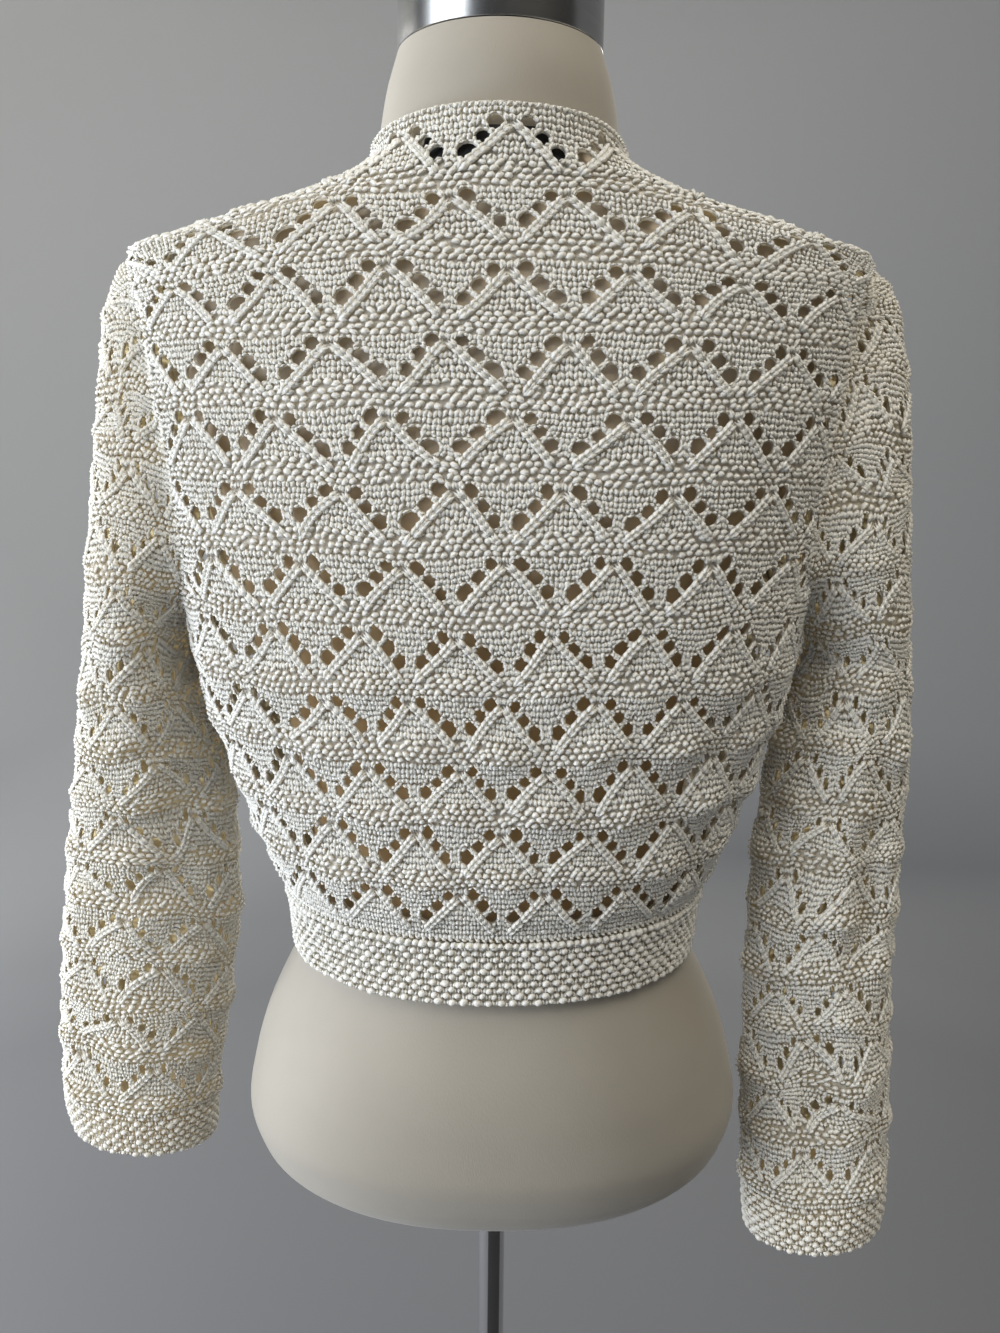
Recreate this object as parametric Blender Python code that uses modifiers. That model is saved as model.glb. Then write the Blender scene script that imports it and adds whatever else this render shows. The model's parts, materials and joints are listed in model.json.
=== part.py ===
"""Tie-front lace cardigan on a limbless dress form with a pole stand.

Metres, +Z up. The front faces -Y, the wearer's left is +X, and the origin is on the floor under the pole.
The cloth tables give its outside; walls go inwards from there.
"""
import math
from collections import namedtuple

import bmesh
import bpy
import numpy as np

for item in list(bpy.data.objects):
    bpy.data.objects.remove(item, do_unlink=True)

# Walls and gaps
WALL = 0.0025
BAND_WALL = 0.0035
TIE_WALL = 0.0040
SEAM = 0.0003

# Heights of the cardigan
HEM_LOW = 0.892
HEM_TOP = 0.931
NECK_TOP = 1.374
NECK_SIDE = 1.362
SHOULDER_TIP = 1.311
TIP_BAND = 0.0008

# Lace repeat: rows of V shapes, alternate rows half a repeat apart
LACE_FIRST = 0.948
LACE_PITCH = 0.0365
LACE_ROWS = 12
EYELET = 0.0080
EYELET_SHARE = 0.070
EYELET_PLACE = 0.127
BACK_PHASE = 0.11
HALF_REPEATS = 3.4
CREST_RISE = 0.024
CREST_ROWS = 4
CREST_HEIGHT = 0.0026
SHOULDER_ROWS = (0.972, 0.983, 0.992)
UNDERARM = LACE_FIRST + 3 * LACE_PITCH + CREST_RISE
REPEAT_LOW = 0.0475
REPEAT_HIGH = 0.0605
WIDENS_FROM = 1.05
WIDENS_OVER = 0.19
FRONT_PHASE = 0.18
COLUMN_MARGIN = 0.08
DIP_FROM = 0.70
DIP_POWER = 2.2
WELT_FADE_FROM = 0.80
WELT_FADE = 0.14

# Sleeve lace
SLEEVE_REPEATS = 3
SLEEVE_FIRST = 0.022
SLEEVE_EYELET_SHARE = 0.085
SLEEVE_LACE_END = 0.045
SLEEVE_PLAIN = 0.040
SLEEVE_TILT = 0.10
TILT_BELOW = 1.04
TILT_OVER = 0.20
SEAM_TURN = 0.0012
CAP_END = 1.2945
UNDERARM_ROWS = (0.032, 0.012)

# Stand and form
POLE_RADIUS = 0.0095
BORE_RADIUS = 0.0100
SOCKET_DEPTH = 0.060
BASE_RADIUS = 0.175
BASE_THICK = 0.012
BASE_RIM = 0.005
BASE_BEVEL = 0.004
HUB_HEIGHT = 0.045
HUB_WALL = 0.006
HUB_FLARE = 0.020
HUB_FOOT = 0.003
HUB_FOOT_RISE = 0.008
FLARE_RISE = 0.001
CAP_RADIUS = 0.0575
CAP_LOW = 1.4165
CAP_STRAIGHT = 0.028
CAP_ROUND = 0.012
FORM_SIDES = 28
POLE_SIDES = 24
BASE_SIDES = 32

# Tie knot and its free ends
KNOT_SIZE = (0.036, 0.025, 0.042)
KNOT_CENTRE = (0.0, -0.1065, 0.9075)
KNOT_ROUND = 0.0085
KNOT_TAPER_LOW = 0.82
KNOT_TAPER_HIGH = 0.90
BAND_AT_KNOT = 0.027
PINCH_SHARE = 0.30
PINCH_FLATTENS = 0.7
TIE_CURL = 0.0022
TIE_TWIST = 0.0015
TIE_COLUMNS = 4
HEM_BACK_COLUMNS = 22
HEM_FRONT_COLUMNS = 12
CUFF_COLUMNS = 12

Section = namedtuple("Section", "z half_width back front squareness")
FORM_SECTIONS = (
    Section(0.7220, 0.0750, 0.0520, 0.0420, 2.10),
    Section(0.7265, 0.1110, 0.0780, 0.0620, 2.20),
    Section(0.7400, 0.1420, 0.0990, 0.0800, 2.30),
    Section(0.7600, 0.1570, 0.1110, 0.0900, 2.35),
    Section(0.7850, 0.1625, 0.1160, 0.0960, 2.40),
    Section(0.8125, 0.1580, 0.1150, 0.0980, 2.35),
    Section(0.8390, 0.1505, 0.1110, 0.0980, 2.30),
    Section(0.8650, 0.1390, 0.1045, 0.0965, 2.25),
    Section(0.8920, 0.1255, 0.0980, 0.0950, 2.20),
    Section(0.9250, 0.1195, 0.0900, 0.0920, 2.20),
    Section(0.9600, 0.1165, 0.0830, 0.0910, 2.20),
    Section(1.0000, 0.1215, 0.0840, 0.0980, 2.25),
    Section(1.0600, 0.1420, 0.0920, 0.1180, 2.30),
    Section(1.1100, 0.1560, 0.1025, 0.1240, 2.40),
    Section(1.1500, 0.1660, 0.1078, 0.1190, 2.40),
    Section(1.2000, 0.1790, 0.1062, 0.1040, 2.40),
    Section(1.2500, 0.1900, 0.0998, 0.0880, 2.35),
    Section(1.2780, 0.1940, 0.0932, 0.0780, 2.30),
    Section(1.3010, 0.1930, 0.0862, 0.0695, 2.20),
    Section(1.3130, 0.1835, 0.0822, 0.0666, 2.15),
    Section(1.3175, 0.1730, 0.0808, 0.0658, 2.15),
    Section(1.3220, 0.1580, 0.0795, 0.0652, 2.15),
    Section(1.3270, 0.1380, 0.0780, 0.0646, 2.13),
    Section(1.3350, 0.1135, 0.0754, 0.0633, 2.11),
    Section(1.3450, 0.0895, 0.0720, 0.0616, 2.08),
    Section(1.3540, 0.0755, 0.0690, 0.0600, 2.05),
    Section(1.3620, 0.0700, 0.0662, 0.0593, 2.00),
    Section(1.3740, 0.0680, 0.0638, 0.0588, 2.00),
    Section(1.3955, 0.0640, 0.0620, 0.0590, 2.00),
    Section(1.4165, 0.0575, 0.0575, 0.0575, 2.00),
)
BODY_SECTIONS = (
    Section(0.8920, 0.1300, 0.1035, 0.1010, 2.20),
    Section(0.9310, 0.1330, 0.1030, 0.1050, 2.20),
    Section(0.9500, 0.1415, 0.1075, 0.1120, 2.25),
    Section(0.9800, 0.1525, 0.1100, 0.1190, 2.30),
    Section(1.0330, 0.1700, 0.1125, 0.1280, 2.40),
    Section(1.0815, 0.1830, 0.1145, 0.1315, 2.50),
    Section(1.1100, 0.1860, 0.1150, 0.1320, 2.50),
    Section(1.1500, 0.1900, 0.1145, 0.1270, 2.50),
    Section(1.2000, 0.1970, 0.1110, 0.1120, 2.50),
    Section(1.2500, 0.2050, 0.1045, 0.0960, 2.40),
    Section(1.2900, 0.2105, 0.0950, 0.0830, 2.30),
    Section(1.3110, 0.2110, 0.0885, 0.0765, 2.20),
    Section(1.3133, 0.2062, 0.0879, 0.0758, 2.19),
    Section(1.3164, 0.1935, 0.0871, 0.0750, 2.18),
    Section(1.3220, 0.1770, 0.0856, 0.0735, 2.16),
    Section(1.3270, 0.1590, 0.0843, 0.0722, 2.15),
    Section(1.3320, 0.1390, 0.0828, 0.0710, 2.14),
    Section(1.3400, 0.1145, 0.0803, 0.0690, 2.12),
    Section(1.3500, 0.0905, 0.0771, 0.0668, 2.10),
    Section(1.3620, 0.0752, 0.0733, 0.0653, 2.03),
    Section(1.3740, 0.0735, 0.0695, 0.0645, 2.00),
)

# Share of the half ring, from the middle to the side, where the armhole edge lies
Armhole = namedtuple("Armhole", "z share")
ARMHOLE = (
    Armhole(1.0815, 1.000),
    Armhole(1.0920, 0.930),
    Armhole(1.1120, 0.850),
    Armhole(1.1500, 0.765),
    Armhole(1.2000, 0.765),
    Armhole(1.2400, 0.790),
    Armhole(1.2740, 0.805),
    Armhole(1.2930, 0.870),
    Armhole(1.3040, 0.940),
    Armhole(1.3110, 1.000),
)

# Distance of each front edge from the middle of the front
FrontEdge = namedtuple("FrontEdge", "z x")
FRONT_EDGE = (
    FrontEdge(0.931, 0.010),
    FrontEdge(1.000, 0.016),
    FrontEdge(1.100, 0.030),
    FrontEdge(1.200, 0.046),
    FrontEdge(1.300, 0.062),
    FrontEdge(1.350, 0.070),
    FrontEdge(1.374, 0.0745),
)

SleeveSection = namedtuple("SleeveSection", "z inner outer centre_y half_depth")
SLEEVE_LEFT = (
    SleeveSection(0.7150, 0.2050, 0.3040, -0.030, 0.0340),
    SleeveSection(0.7490, 0.2020, 0.3080, -0.028, 0.0360),
    SleeveSection(0.7900, 0.1950, 0.3070, -0.025, 0.0390),
    SleeveSection(0.8500, 0.1840, 0.3000, -0.021, 0.0420),
    SleeveSection(0.9200, 0.1750, 0.2890, -0.016, 0.0450),
    SleeveSection(0.9800, 0.1745, 0.2780, -0.011, 0.0480),
    SleeveSection(1.0330, 0.1790, 0.2670, -0.006, 0.0510),
    SleeveSection(1.0750, 0.1880, 0.2585, -0.001, 0.0530),
    SleeveSection(1.0815, 0.1890, 0.2575, 0.000, 0.0530),
    SleeveSection(1.1100, 0.1895, 0.2530, 0.000, 0.0530),
    SleeveSection(1.1500, 0.1900, 0.2470, 0.000, 0.0510),
    SleeveSection(1.2200, 0.1970, 0.2380, 0.000, 0.0420),
    SleeveSection(1.2657, 0.2040, 0.2325, 0.000, 0.0280),
    SleeveSection(1.2930, 0.2090, 0.2245, 0.000, 0.0160),
    SleeveSection(1.3110, 0.2110, 0.2140, 0.000, 0.0050),
)
SLEEVE_RIGHT = (
    SleeveSection(0.6920, 0.1740, 0.2620, 0.030, 0.0340),
    SleeveSection(0.7260, 0.1720, 0.2640, 0.028, 0.0360),
    SleeveSection(0.7700, 0.1690, 0.2650, 0.025, 0.0390),
    SleeveSection(0.8700, 0.1675, 0.2600, 0.018, 0.0420),
    SleeveSection(0.9500, 0.1695, 0.2610, 0.012, 0.0460),
    SleeveSection(1.0330, 0.1790, 0.2605, 0.006, 0.0510),
    SleeveSection(1.0750, 0.1880, 0.2580, 0.001, 0.0530),
    SleeveSection(1.0815, 0.1890, 0.2575, 0.000, 0.0530),
    SleeveSection(1.1100, 0.1895, 0.2550, 0.000, 0.0530),
    SleeveSection(1.1500, 0.1900, 0.2515, 0.000, 0.0510),
    SleeveSection(1.2200, 0.1970, 0.2457, 0.000, 0.0420),
    SleeveSection(1.2657, 0.2040, 0.2395, 0.000, 0.0280),
    SleeveSection(1.2930, 0.2090, 0.2300, 0.000, 0.0160),
    SleeveSection(1.3110, 0.2110, 0.2150, 0.000, 0.0050),
)

# Long soft folds of the sleeves: angle 0 is the outer line, 90 the back, 180 the inner line
Fold = namedtuple("Fold", "angle spread z_low z_high depth")
FOLDS_LEFT = (
    Fold(128.0, 24.0, 0.82, 1.14, 0.0100),
    Fold(62.0, 20.0, 0.72, 0.98, 0.0045),
    Fold(-100.0, 26.0, 0.76, 1.08, 0.0070),
)
FOLDS_RIGHT = (
    Fold(70.0, 17.0, 0.80, 1.12, 0.0075),
    Fold(104.0, 16.0, 0.69, 0.92, 0.0085),
    Fold(-95.0, 26.0, 0.74, 1.06, 0.0070),
)


def column(table, name):
    """One named column of a table, as an array."""
    return np.array([getattr(row, name) for row in table])


def curve(knots, values, at):
    """Smooth curve through a table's column that never overshoots its rows."""
    step = np.diff(knots)
    slope = np.diff(values) / step
    product = slope[:-1] * slope[1:]
    mean = 2 * product / np.where(product > 0, slope[:-1] + slope[1:], 1.0)
    inner = np.where(product > 0, mean, 0.0)
    tangent = np.concatenate(([slope[0]], inner, [slope[-1]]))
    at = np.clip(at, knots[0], knots[-1])
    k = np.clip(np.searchsorted(knots, at, side="right") - 1, 0, len(step) - 1)
    t = (at - knots[k]) / step[k]
    low = values[k] * (1 + 2 * t) + tangent[k] * step[k] * t
    high = values[k + 1] * (3 - 2 * t) + tangent[k + 1] * step[k] * (t - 1)
    return low * (1 - t) ** 2 + high * t ** 2


def look_up(table, name, at):
    """A table's column as a smooth function of its z."""
    return curve(column(table, "z"), column(table, name), np.asarray(at, dtype=float))


def ease(t):
    """Smooth step from 0 to 1."""
    t = np.clip(t, 0.0, 1.0)
    return t * t * (3 - 2 * t)


def unit(vectors):
    """Vectors at length 1."""
    return vectors / np.maximum(np.linalg.norm(vectors, axis=-1, keepdims=True), 1e-12)


class HalfRings:
    """Back or front half of a stack of level rings, measured along each ring from its middle to its side."""

    LEVELS = 400
    STEPS = 160

    def __init__(self, sections, depth_name, facing):
        self.z = np.linspace(sections[0].z, sections[-1].z, self.LEVELS)
        width = look_up(sections, "half_width", self.z)[:, None]
        depth = look_up(sections, depth_name, self.z)[:, None]
        power = 2.0 / look_up(sections, "squareness", self.z)[:, None]
        angle = np.linspace(0.0, math.pi / 2, 4 * self.STEPS)[None, :]
        x = width * np.sin(angle) ** power
        y = depth * np.maximum(np.cos(angle), 0.0) ** power
        run = np.hypot(np.diff(x, axis=1), np.diff(y, axis=1))
        along = np.concatenate((np.zeros((self.LEVELS, 1)), np.cumsum(run, axis=1)), axis=1)
        self.lengths = along[:, -1]
        share = np.linspace(0.0, 1.0, self.STEPS)
        self.x = np.array([np.interp(share, a / a[-1], row) for a, row in zip(along, x)])
        self.y = np.array([np.interp(share, a / a[-1], row) for a, row in zip(along, y)]) * facing

    def length(self, z):
        return np.interp(z, self.z, self.lengths)

    def height_of_length(self, length):
        """Height on the shoulder at which the half ring has this length."""
        above = self.z >= SHOULDER_TIP
        return np.interp(length, self.lengths[above][::-1], self.z[above][::-1])

    def point(self, z, along):
        """Points at heights z, along the ring from its middle; x takes the sign of along."""
        z, along = np.broadcast_arrays(np.asarray(z, float), np.asarray(along, float))
        level = np.clip((z - self.z[0]) / (self.z[1] - self.z[0]), 0, self.LEVELS - 1.001)
        i = level.astype(int)
        u = level - i
        place = np.clip(np.abs(along) / self.length(z), 0, 1) * (self.STEPS - 1)
        j = np.minimum(place.astype(int), self.STEPS - 2)
        v = place - j

        def mix(grid):
            low = grid[i, j] * (1 - v) + grid[i, j + 1] * v
            high = grid[i + 1, j] * (1 - v) + grid[i + 1, j + 1] * v
            return low * (1 - u) + high * u

        return np.stack((mix(self.x) * np.sign(along), mix(self.y), z), axis=-1)

    def normal(self, z, along):
        """Unit normals of the rings' own surface, outwards; level where it turns over the shoulder tip."""
        z, along = np.broadcast_arrays(np.asarray(z, float), np.asarray(along, float))
        step = 2e-4
        share = along / self.length(z)
        z = np.where(np.abs(z - SHOULDER_TIP) < TIP_BAND, SHOULDER_TIP - TIP_BAND, z)
        along = share * self.length(z)
        low = np.maximum(z - step, self.z[0])
        high = np.minimum(z + step, self.z[-1])
        up = self.point(high, share * self.length(high)) - self.point(low, share * self.length(low))
        reach = np.abs(along)
        sign = np.where(along < 0, -1.0, 1.0)
        far = self.point(z, sign * np.minimum(reach + step, self.length(z)))
        near = self.point(z, sign * np.maximum(reach - 8 * step, 1e-9))
        normal = unit(np.cross(far - near, up))
        away = self.point(z, along) * np.array([1.0, 1.0, 0.0])
        turn = np.sum(normal * away, axis=-1, keepdims=True)
        return normal * np.where(turn < 0, -1.0, 1.0)

    def along_for_x(self, z, x):
        """Distance along the ring at which it reaches x."""
        z = np.atleast_1d(z)
        x = np.broadcast_to(x, z.shape)
        share = np.linspace(0.0, 1.0, self.STEPS)
        found = []
        for height, target in zip(z, x):
            ring = self.point(np.full(self.STEPS, height), share * self.length(height))
            found.append(np.interp(target, ring[:, 0], share * self.length(height)))
        return np.array(found)


BACK = HalfRings(BODY_SECTIONS, "back", 1.0)
FRONT = HalfRings(BODY_SECTIONS, "front", -1.0)


# Body panels. v runs from the hem (0) to the neck (1); rows dip towards the shoulder tips.
BODY_LOW = HEM_TOP + SEAM / 2
NECK_DROP = NECK_TOP - SHOULDER_TIP


def row_height(v):
    return BODY_LOW + (NECK_TOP - BODY_LOW) * v


def row_share(z):
    return (np.asarray(z, float) - BODY_LOW) / (NECK_TOP - BODY_LOW)


def dip(v):
    return np.clip((v - DIP_FROM) / (1 - DIP_FROM), 0.0, 1.0) ** DIP_POWER


def edge_height(v):
    """Height of a row where it meets the side or the armhole."""
    return row_height(v) - NECK_DROP * dip(v)


def edge_share(z):
    return look_up(ARMHOLE, "share", z)


def edge_along(rings, v):
    """Length of a row from the middle to the side seam, armhole or shoulder tip."""
    z = edge_height(v)
    return rings.length(z) * edge_share(z) - SEAM / 2


def ridge_drop(rings, along):
    """How far the neck edge and shoulder have dropped below the neck, as a share, at this length of a half ring."""
    side = rings.length(NECK_SIDE)
    neck_edge = NECK_TOP - (NECK_TOP - NECK_SIDE) * (along / side) ** 2
    top = np.where(along < side, neck_edge, rings.height_of_length(np.maximum(along, side)))
    return (NECK_TOP - top) / NECK_DROP


def repeat_width(z):
    """Width of one lace repeat at the middle of the back."""
    return REPEAT_LOW + (REPEAT_HIGH - REPEAT_LOW) * ease((z - WIDENS_FROM) / WIDENS_OVER)


def back_place(u, v):
    """Height and distance along the ring for the back: u from -1 to 1, from the wearer's left to right."""
    u, v = np.broadcast_arrays(np.asarray(u, float), np.asarray(v, float))
    reach = edge_along(BACK, v)
    level = row_height(v)
    linear = np.minimum(repeat_width(level) * HALF_REPEATS, reach)
    along = linear * np.abs(u) + (reach - linear) * np.abs(u) ** 3
    tip = BACK.length(SHOULDER_TIP)
    drop = ridge_drop(BACK, np.abs(u) * tip)
    z = level - NECK_DROP * dip(v) * drop
    along = np.where(v > 0.999, np.minimum(np.abs(u) * tip, BACK.length(z)), along)
    along = np.minimum(along, BACK.length(z) - SEAM / 2)
    return z, -np.sign(u) * np.maximum(along, 1e-9)


def front_place(u, v):
    """The same for the left front: u from 0 at its front edge to 1 at the side seam or armhole."""
    u, v = np.broadcast_arrays(np.asarray(u, float), np.asarray(v, float))
    neck = FRONT.length(NECK_SIDE)
    tip = FRONT.length(SHOULDER_TIP)
    drop = ridge_drop(FRONT, neck + np.clip(u, 0, 1) * (tip - neck))
    level = row_height(v)
    z = level - NECK_DROP * dip(v) * drop
    edge = FRONT_START(v)
    reach = edge_along(FRONT, v)
    along = edge + u * (reach - edge)
    along = np.where(v > 0.999, neck + u * (tip - neck), along)
    return z, np.minimum(along, FRONT.length(z) - SEAM / 2)


class FrontStart:
    """Distance of the front edge along its ring, for each v."""

    def __init__(self):
        self.v = np.linspace(0.0, 1.0, 120)
        z = row_height(self.v)
        self.along = FRONT.along_for_x(z, look_up(FRONT_EDGE, "x", z))

    def __call__(self, v):
        return np.interp(v, self.v, self.along)


FRONT_START = FrontStart()

RowLine = namedtuple("RowLine", "v lace_row crest")


def body_rows():
    """Level lines of the body grid: foot and top of each eyelet row, crests of the welts, hem and neck."""
    lines = [RowLine(0.0, None, 0.0)]
    for k in range(LACE_ROWS):
        foot = LACE_FIRST + k * LACE_PITCH - EYELET / 2
        lines.append(RowLine(float(row_share(foot)), k, 0.0))
        lines.append(RowLine(float(row_share(foot + EYELET)), None, 0.0))
        if k < CREST_ROWS:
            crest = foot + EYELET / 2 + CREST_RISE
            lines.append(RowLine(float(row_share(crest)), None, CREST_HEIGHT))
    lines += [RowLine(v, None, 0.0) for v in (*SHOULDER_ROWS, 1.0)]
    return lines


BODY_ROWS = body_rows()
BODY_V = np.array([line.v for line in BODY_ROWS])

ColumnLine = namedtuple("ColumnLine", "place eyelet_set")


def lace_columns(first, last, phase):
    """Lines of a lace grid across, in repeats: both sides of each eyelet, two sets half a repeat apart."""
    lines = [ColumnLine(first, None)]
    for k in range(math.floor(2 * first) - 2, math.ceil(2 * last) + 2):
        middle = phase + EYELET_PLACE + 0.5 * k
        left = middle - EYELET_SHARE
        right = middle + EYELET_SHARE
        if left > first + COLUMN_MARGIN and right < last - COLUMN_MARGIN:
            lines.append(ColumnLine(left, k % 2))
            lines.append(ColumnLine(right, None))
    lines.append(ColumnLine(last, None))
    return lines


def body_cuts(columns):
    """Grid cells of the body that are eyelets: the largest of each repeat."""
    cut = set()
    for i, row in enumerate(BODY_ROWS):
        for j, line in enumerate(columns):
            if row.lace_row is not None and line.eyelet_set == row.lace_row % 2:
                cut.add((i, j))
    return cut


def make_material(name, colour, roughness, metallic=0.0):
    material = bpy.data.materials.new(name)
    material.use_nodes = True
    shader = material.node_tree.nodes["Principled BSDF"]
    shader.inputs["Base Color"].default_value = (*colour, 1.0)
    shader.inputs["Roughness"].default_value = roughness
    shader.inputs["Metallic"].default_value = metallic
    return material


COLLECTION = bpy.data.collections.new("tie_front_cardigan")
bpy.context.scene.collection.children.link(COLLECTION)


def add_object(name, mesh, material):
    node = bpy.data.objects.new(name, mesh)
    mesh.materials.append(material)
    COLLECTION.objects.link(node)
    return node


def finish_mesh(name, work):
    bmesh.ops.recalc_face_normals(work, faces=work.faces)
    if work.calc_volume(signed=True) < 0:
        bmesh.ops.reverse_faces(work, faces=work.faces)
    mesh = bpy.data.meshes.new(name)
    work.to_mesh(mesh)
    work.free()
    return mesh


def cloth_wall(name, outside, inside, material, cut=(), closed=False):
    """Wall between two grids of points, open at its edges and at the cut cells."""
    rows, columns = outside.shape[:2]
    spans = columns if closed else columns - 1
    cells = {(i, j) for i in range(rows - 1) for j in range(spans)} - set(cut)
    work = bmesh.new()
    used = {(i + a, (j + b) % columns) for i, j in cells for a in (0, 1) for b in (0, 1)}
    outer = {key: work.verts.new(outside[key]) for key in sorted(used)}
    inner = {key: work.verts.new(inside[key]) for key in sorted(used)}
    for i, j in sorted(cells):
        right = (j + 1) % columns
        corners = ((i, j), (i, right), (i + 1, right), (i + 1, j))
        before = (j - 1) % columns if closed else j - 1
        after = right if closed else j + 1
        beside = ((i - 1, j), (i, after), (i + 1, j), (i, before))
        work.faces.new([outer[key] for key in corners])
        work.faces.new([inner[key] for key in reversed(corners)])
        for k, neighbour in enumerate(beside):
            if neighbour not in cells:
                a = corners[k]
                b = corners[(k + 1) % 4]
                work.faces.new((outer[b], outer[a], inner[a], inner[b]))
    return add_object(name, finish_mesh(name, work), material)


def loft(name, rings, material):
    """Closed solid through rings of equal count, with flat ends."""
    work = bmesh.new()
    lines = [[work.verts.new(p) for p in ring] for ring in rings]
    count = len(lines[0])
    for low, high in zip(lines, lines[1:]):
        for k in range(count):
            work.faces.new((low[k], low[(k + 1) % count], high[(k + 1) % count], high[k]))
    work.faces.new(list(reversed(lines[0])))
    work.faces.new(lines[-1])
    return add_object(name, finish_mesh(name, work), material)


def turned(name, profile, steps, material):
    """Solid of revolution about Z from a radius and height profile that starts and ends on the axis."""
    mesh = bpy.data.meshes.new(name)
    points = [(radius, 0.0, z) for radius, z in profile]
    mesh.from_pydata(points, [(k, k + 1) for k in range(len(points) - 1)], [])
    node = add_object(name, mesh, material)
    screw = node.modifiers.new("turn", "SCREW")
    screw.steps = steps
    screw.render_steps = steps
    screw.use_merge_vertices = True
    screw.merge_threshold = 1e-5
    screw.use_normal_calculate = False
    screw.use_normal_flip = True
    screw.use_smooth_shade = False
    return node


YARN = make_material("ivory_knit", (0.80, 0.76, 0.66), 0.75)
FORM = make_material("form_jersey", (0.62, 0.56, 0.46), 0.85)
STEEL = make_material("cap_steel", (0.62, 0.61, 0.59), 0.35, 1.0)
CHROME = make_material("pole_chrome", (0.80, 0.80, 0.80), 0.12, 1.0)
ENAMEL = make_material("base_enamel", (0.10, 0.10, 0.10), 0.45)
BLACK = make_material("label_black", (0.02, 0.02, 0.02), 0.80)


def mirrored(points):
    return points * np.array([-1.0, 1.0, 1.0])


def form_ring(z, sides=FORM_SIDES):
    """Level ring of the dress form, on the same rule as the cloth rings."""
    angle = np.arange(sides) * 2 * math.pi / sides
    power = 2.0 / float(look_up(FORM_SECTIONS, "squareness", z))
    width = float(look_up(FORM_SECTIONS, "half_width", z))
    back = float(look_up(FORM_SECTIONS, "back", z))
    front = float(look_up(FORM_SECTIONS, "front", z))
    x = width * np.sign(np.cos(angle)) * np.abs(np.cos(angle)) ** power
    depth = np.where(np.sin(angle) >= 0, back, front)
    y = depth * np.sign(np.sin(angle)) * np.abs(np.sin(angle)) ** power
    return np.stack((x, y, np.full(sides, z)), axis=-1)


def circle(radius, z, sides=FORM_SIDES):
    angle = np.arange(sides) * 2 * math.pi / sides
    return np.stack((radius * np.cos(angle), radius * np.sin(angle), np.full(sides, z)), axis=-1)


def build_form():
    bottom = FORM_SECTIONS[0].z
    socket = [circle(BORE_RADIUS, bottom + SOCKET_DEPTH), circle(BORE_RADIUS, bottom)]
    loft("form_torso", socket + [form_ring(row.z) for row in FORM_SECTIONS], FORM)
    low = CAP_LOW + SEAM
    corner = low + CAP_STRAIGHT
    profile = [(0.0, low), (CAP_RADIUS, low)]
    for k in range(5):
        turn = k * math.pi / 8
        radius = CAP_RADIUS - CAP_ROUND + CAP_ROUND * math.cos(turn)
        profile.append((radius, corner + CAP_ROUND * math.sin(turn)))
    profile.append((0.0, corner + CAP_ROUND))
    turned("form_cap", profile, FORM_SIDES, STEEL)
    pole_top = bottom + SOCKET_DEPTH - SEAM
    pole_low = BASE_THICK + SEAM
    profile = [(0.0, pole_low), (POLE_RADIUS, pole_low), (POLE_RADIUS, pole_top), (0.0, pole_top)]
    turned("stand_pole", profile, POLE_SIDES, CHROME)
    hub = BORE_RADIUS + HUB_WALL
    profile = [(0.0, 0.0), (BASE_RADIUS, 0.0), (BASE_RADIUS, BASE_RIM)]
    profile += [(BASE_RADIUS - BASE_BEVEL, BASE_RIM + BASE_BEVEL)]
    profile += [(hub + HUB_FLARE, BASE_THICK + FLARE_RISE), (hub + HUB_FOOT, BASE_THICK + HUB_FOOT_RISE)]
    profile += [(hub, HUB_HEIGHT), (BORE_RADIUS, HUB_HEIGHT), (BORE_RADIUS, BASE_THICK), (0.0, BASE_THICK)]
    turned("stand_base", profile, BASE_SIDES, ENAMEL)


# Lengthwise, the body's back and left front share one set of row lines.
BACK_COLUMNS = lace_columns(-HALF_REPEATS, HALF_REPEATS, BACK_PHASE)
FRONT_COLUMNS = lace_columns(0.0, HALF_REPEATS, FRONT_PHASE)
BACK_U = np.array([line.place for line in BACK_COLUMNS]) / HALF_REPEATS
FRONT_U = np.array([line.place for line in FRONT_COLUMNS]) / HALF_REPEATS


def armhole_edge(rings, z):
    """Points of the body's armhole edge on the wearer's left."""
    return rings.point(z, rings.length(z) * edge_share(z) - SEAM / 2)


def armhole_side(rings, z):
    """Direction in the cloth from the body's armhole edge into the sleeve."""
    step = 2e-4
    z_low = np.maximum(z - step, UNDERARM)
    z_high = np.minimum(z + step, SHOULDER_TIP)
    run = unit(armhole_edge(rings, z_high) - armhole_edge(rings, z_low))
    along = rings.length(z) * edge_share(z)
    across = unit(rings.point(z, along) - rings.point(z, along - 0.004))
    return unit(across - run * np.sum(across * run, axis=-1, keepdims=True))


def fold_depth(folds, angle, z):
    """How far the long folds push the sleeve's surface in."""
    depth = np.zeros(np.broadcast(angle, z).shape)
    for fold in folds:
        gap = (angle - fold.angle + 180.0) % 360.0 - 180.0
        middle = (fold.z_low + fold.z_high) / 2
        half = (fold.z_high - fold.z_low) / 2
        fade = ease(1.0 - np.abs(z - middle) / half)
        depth = depth + fold.depth * np.exp(-(gap / fold.spread) ** 2) * fade
    return depth


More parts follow.
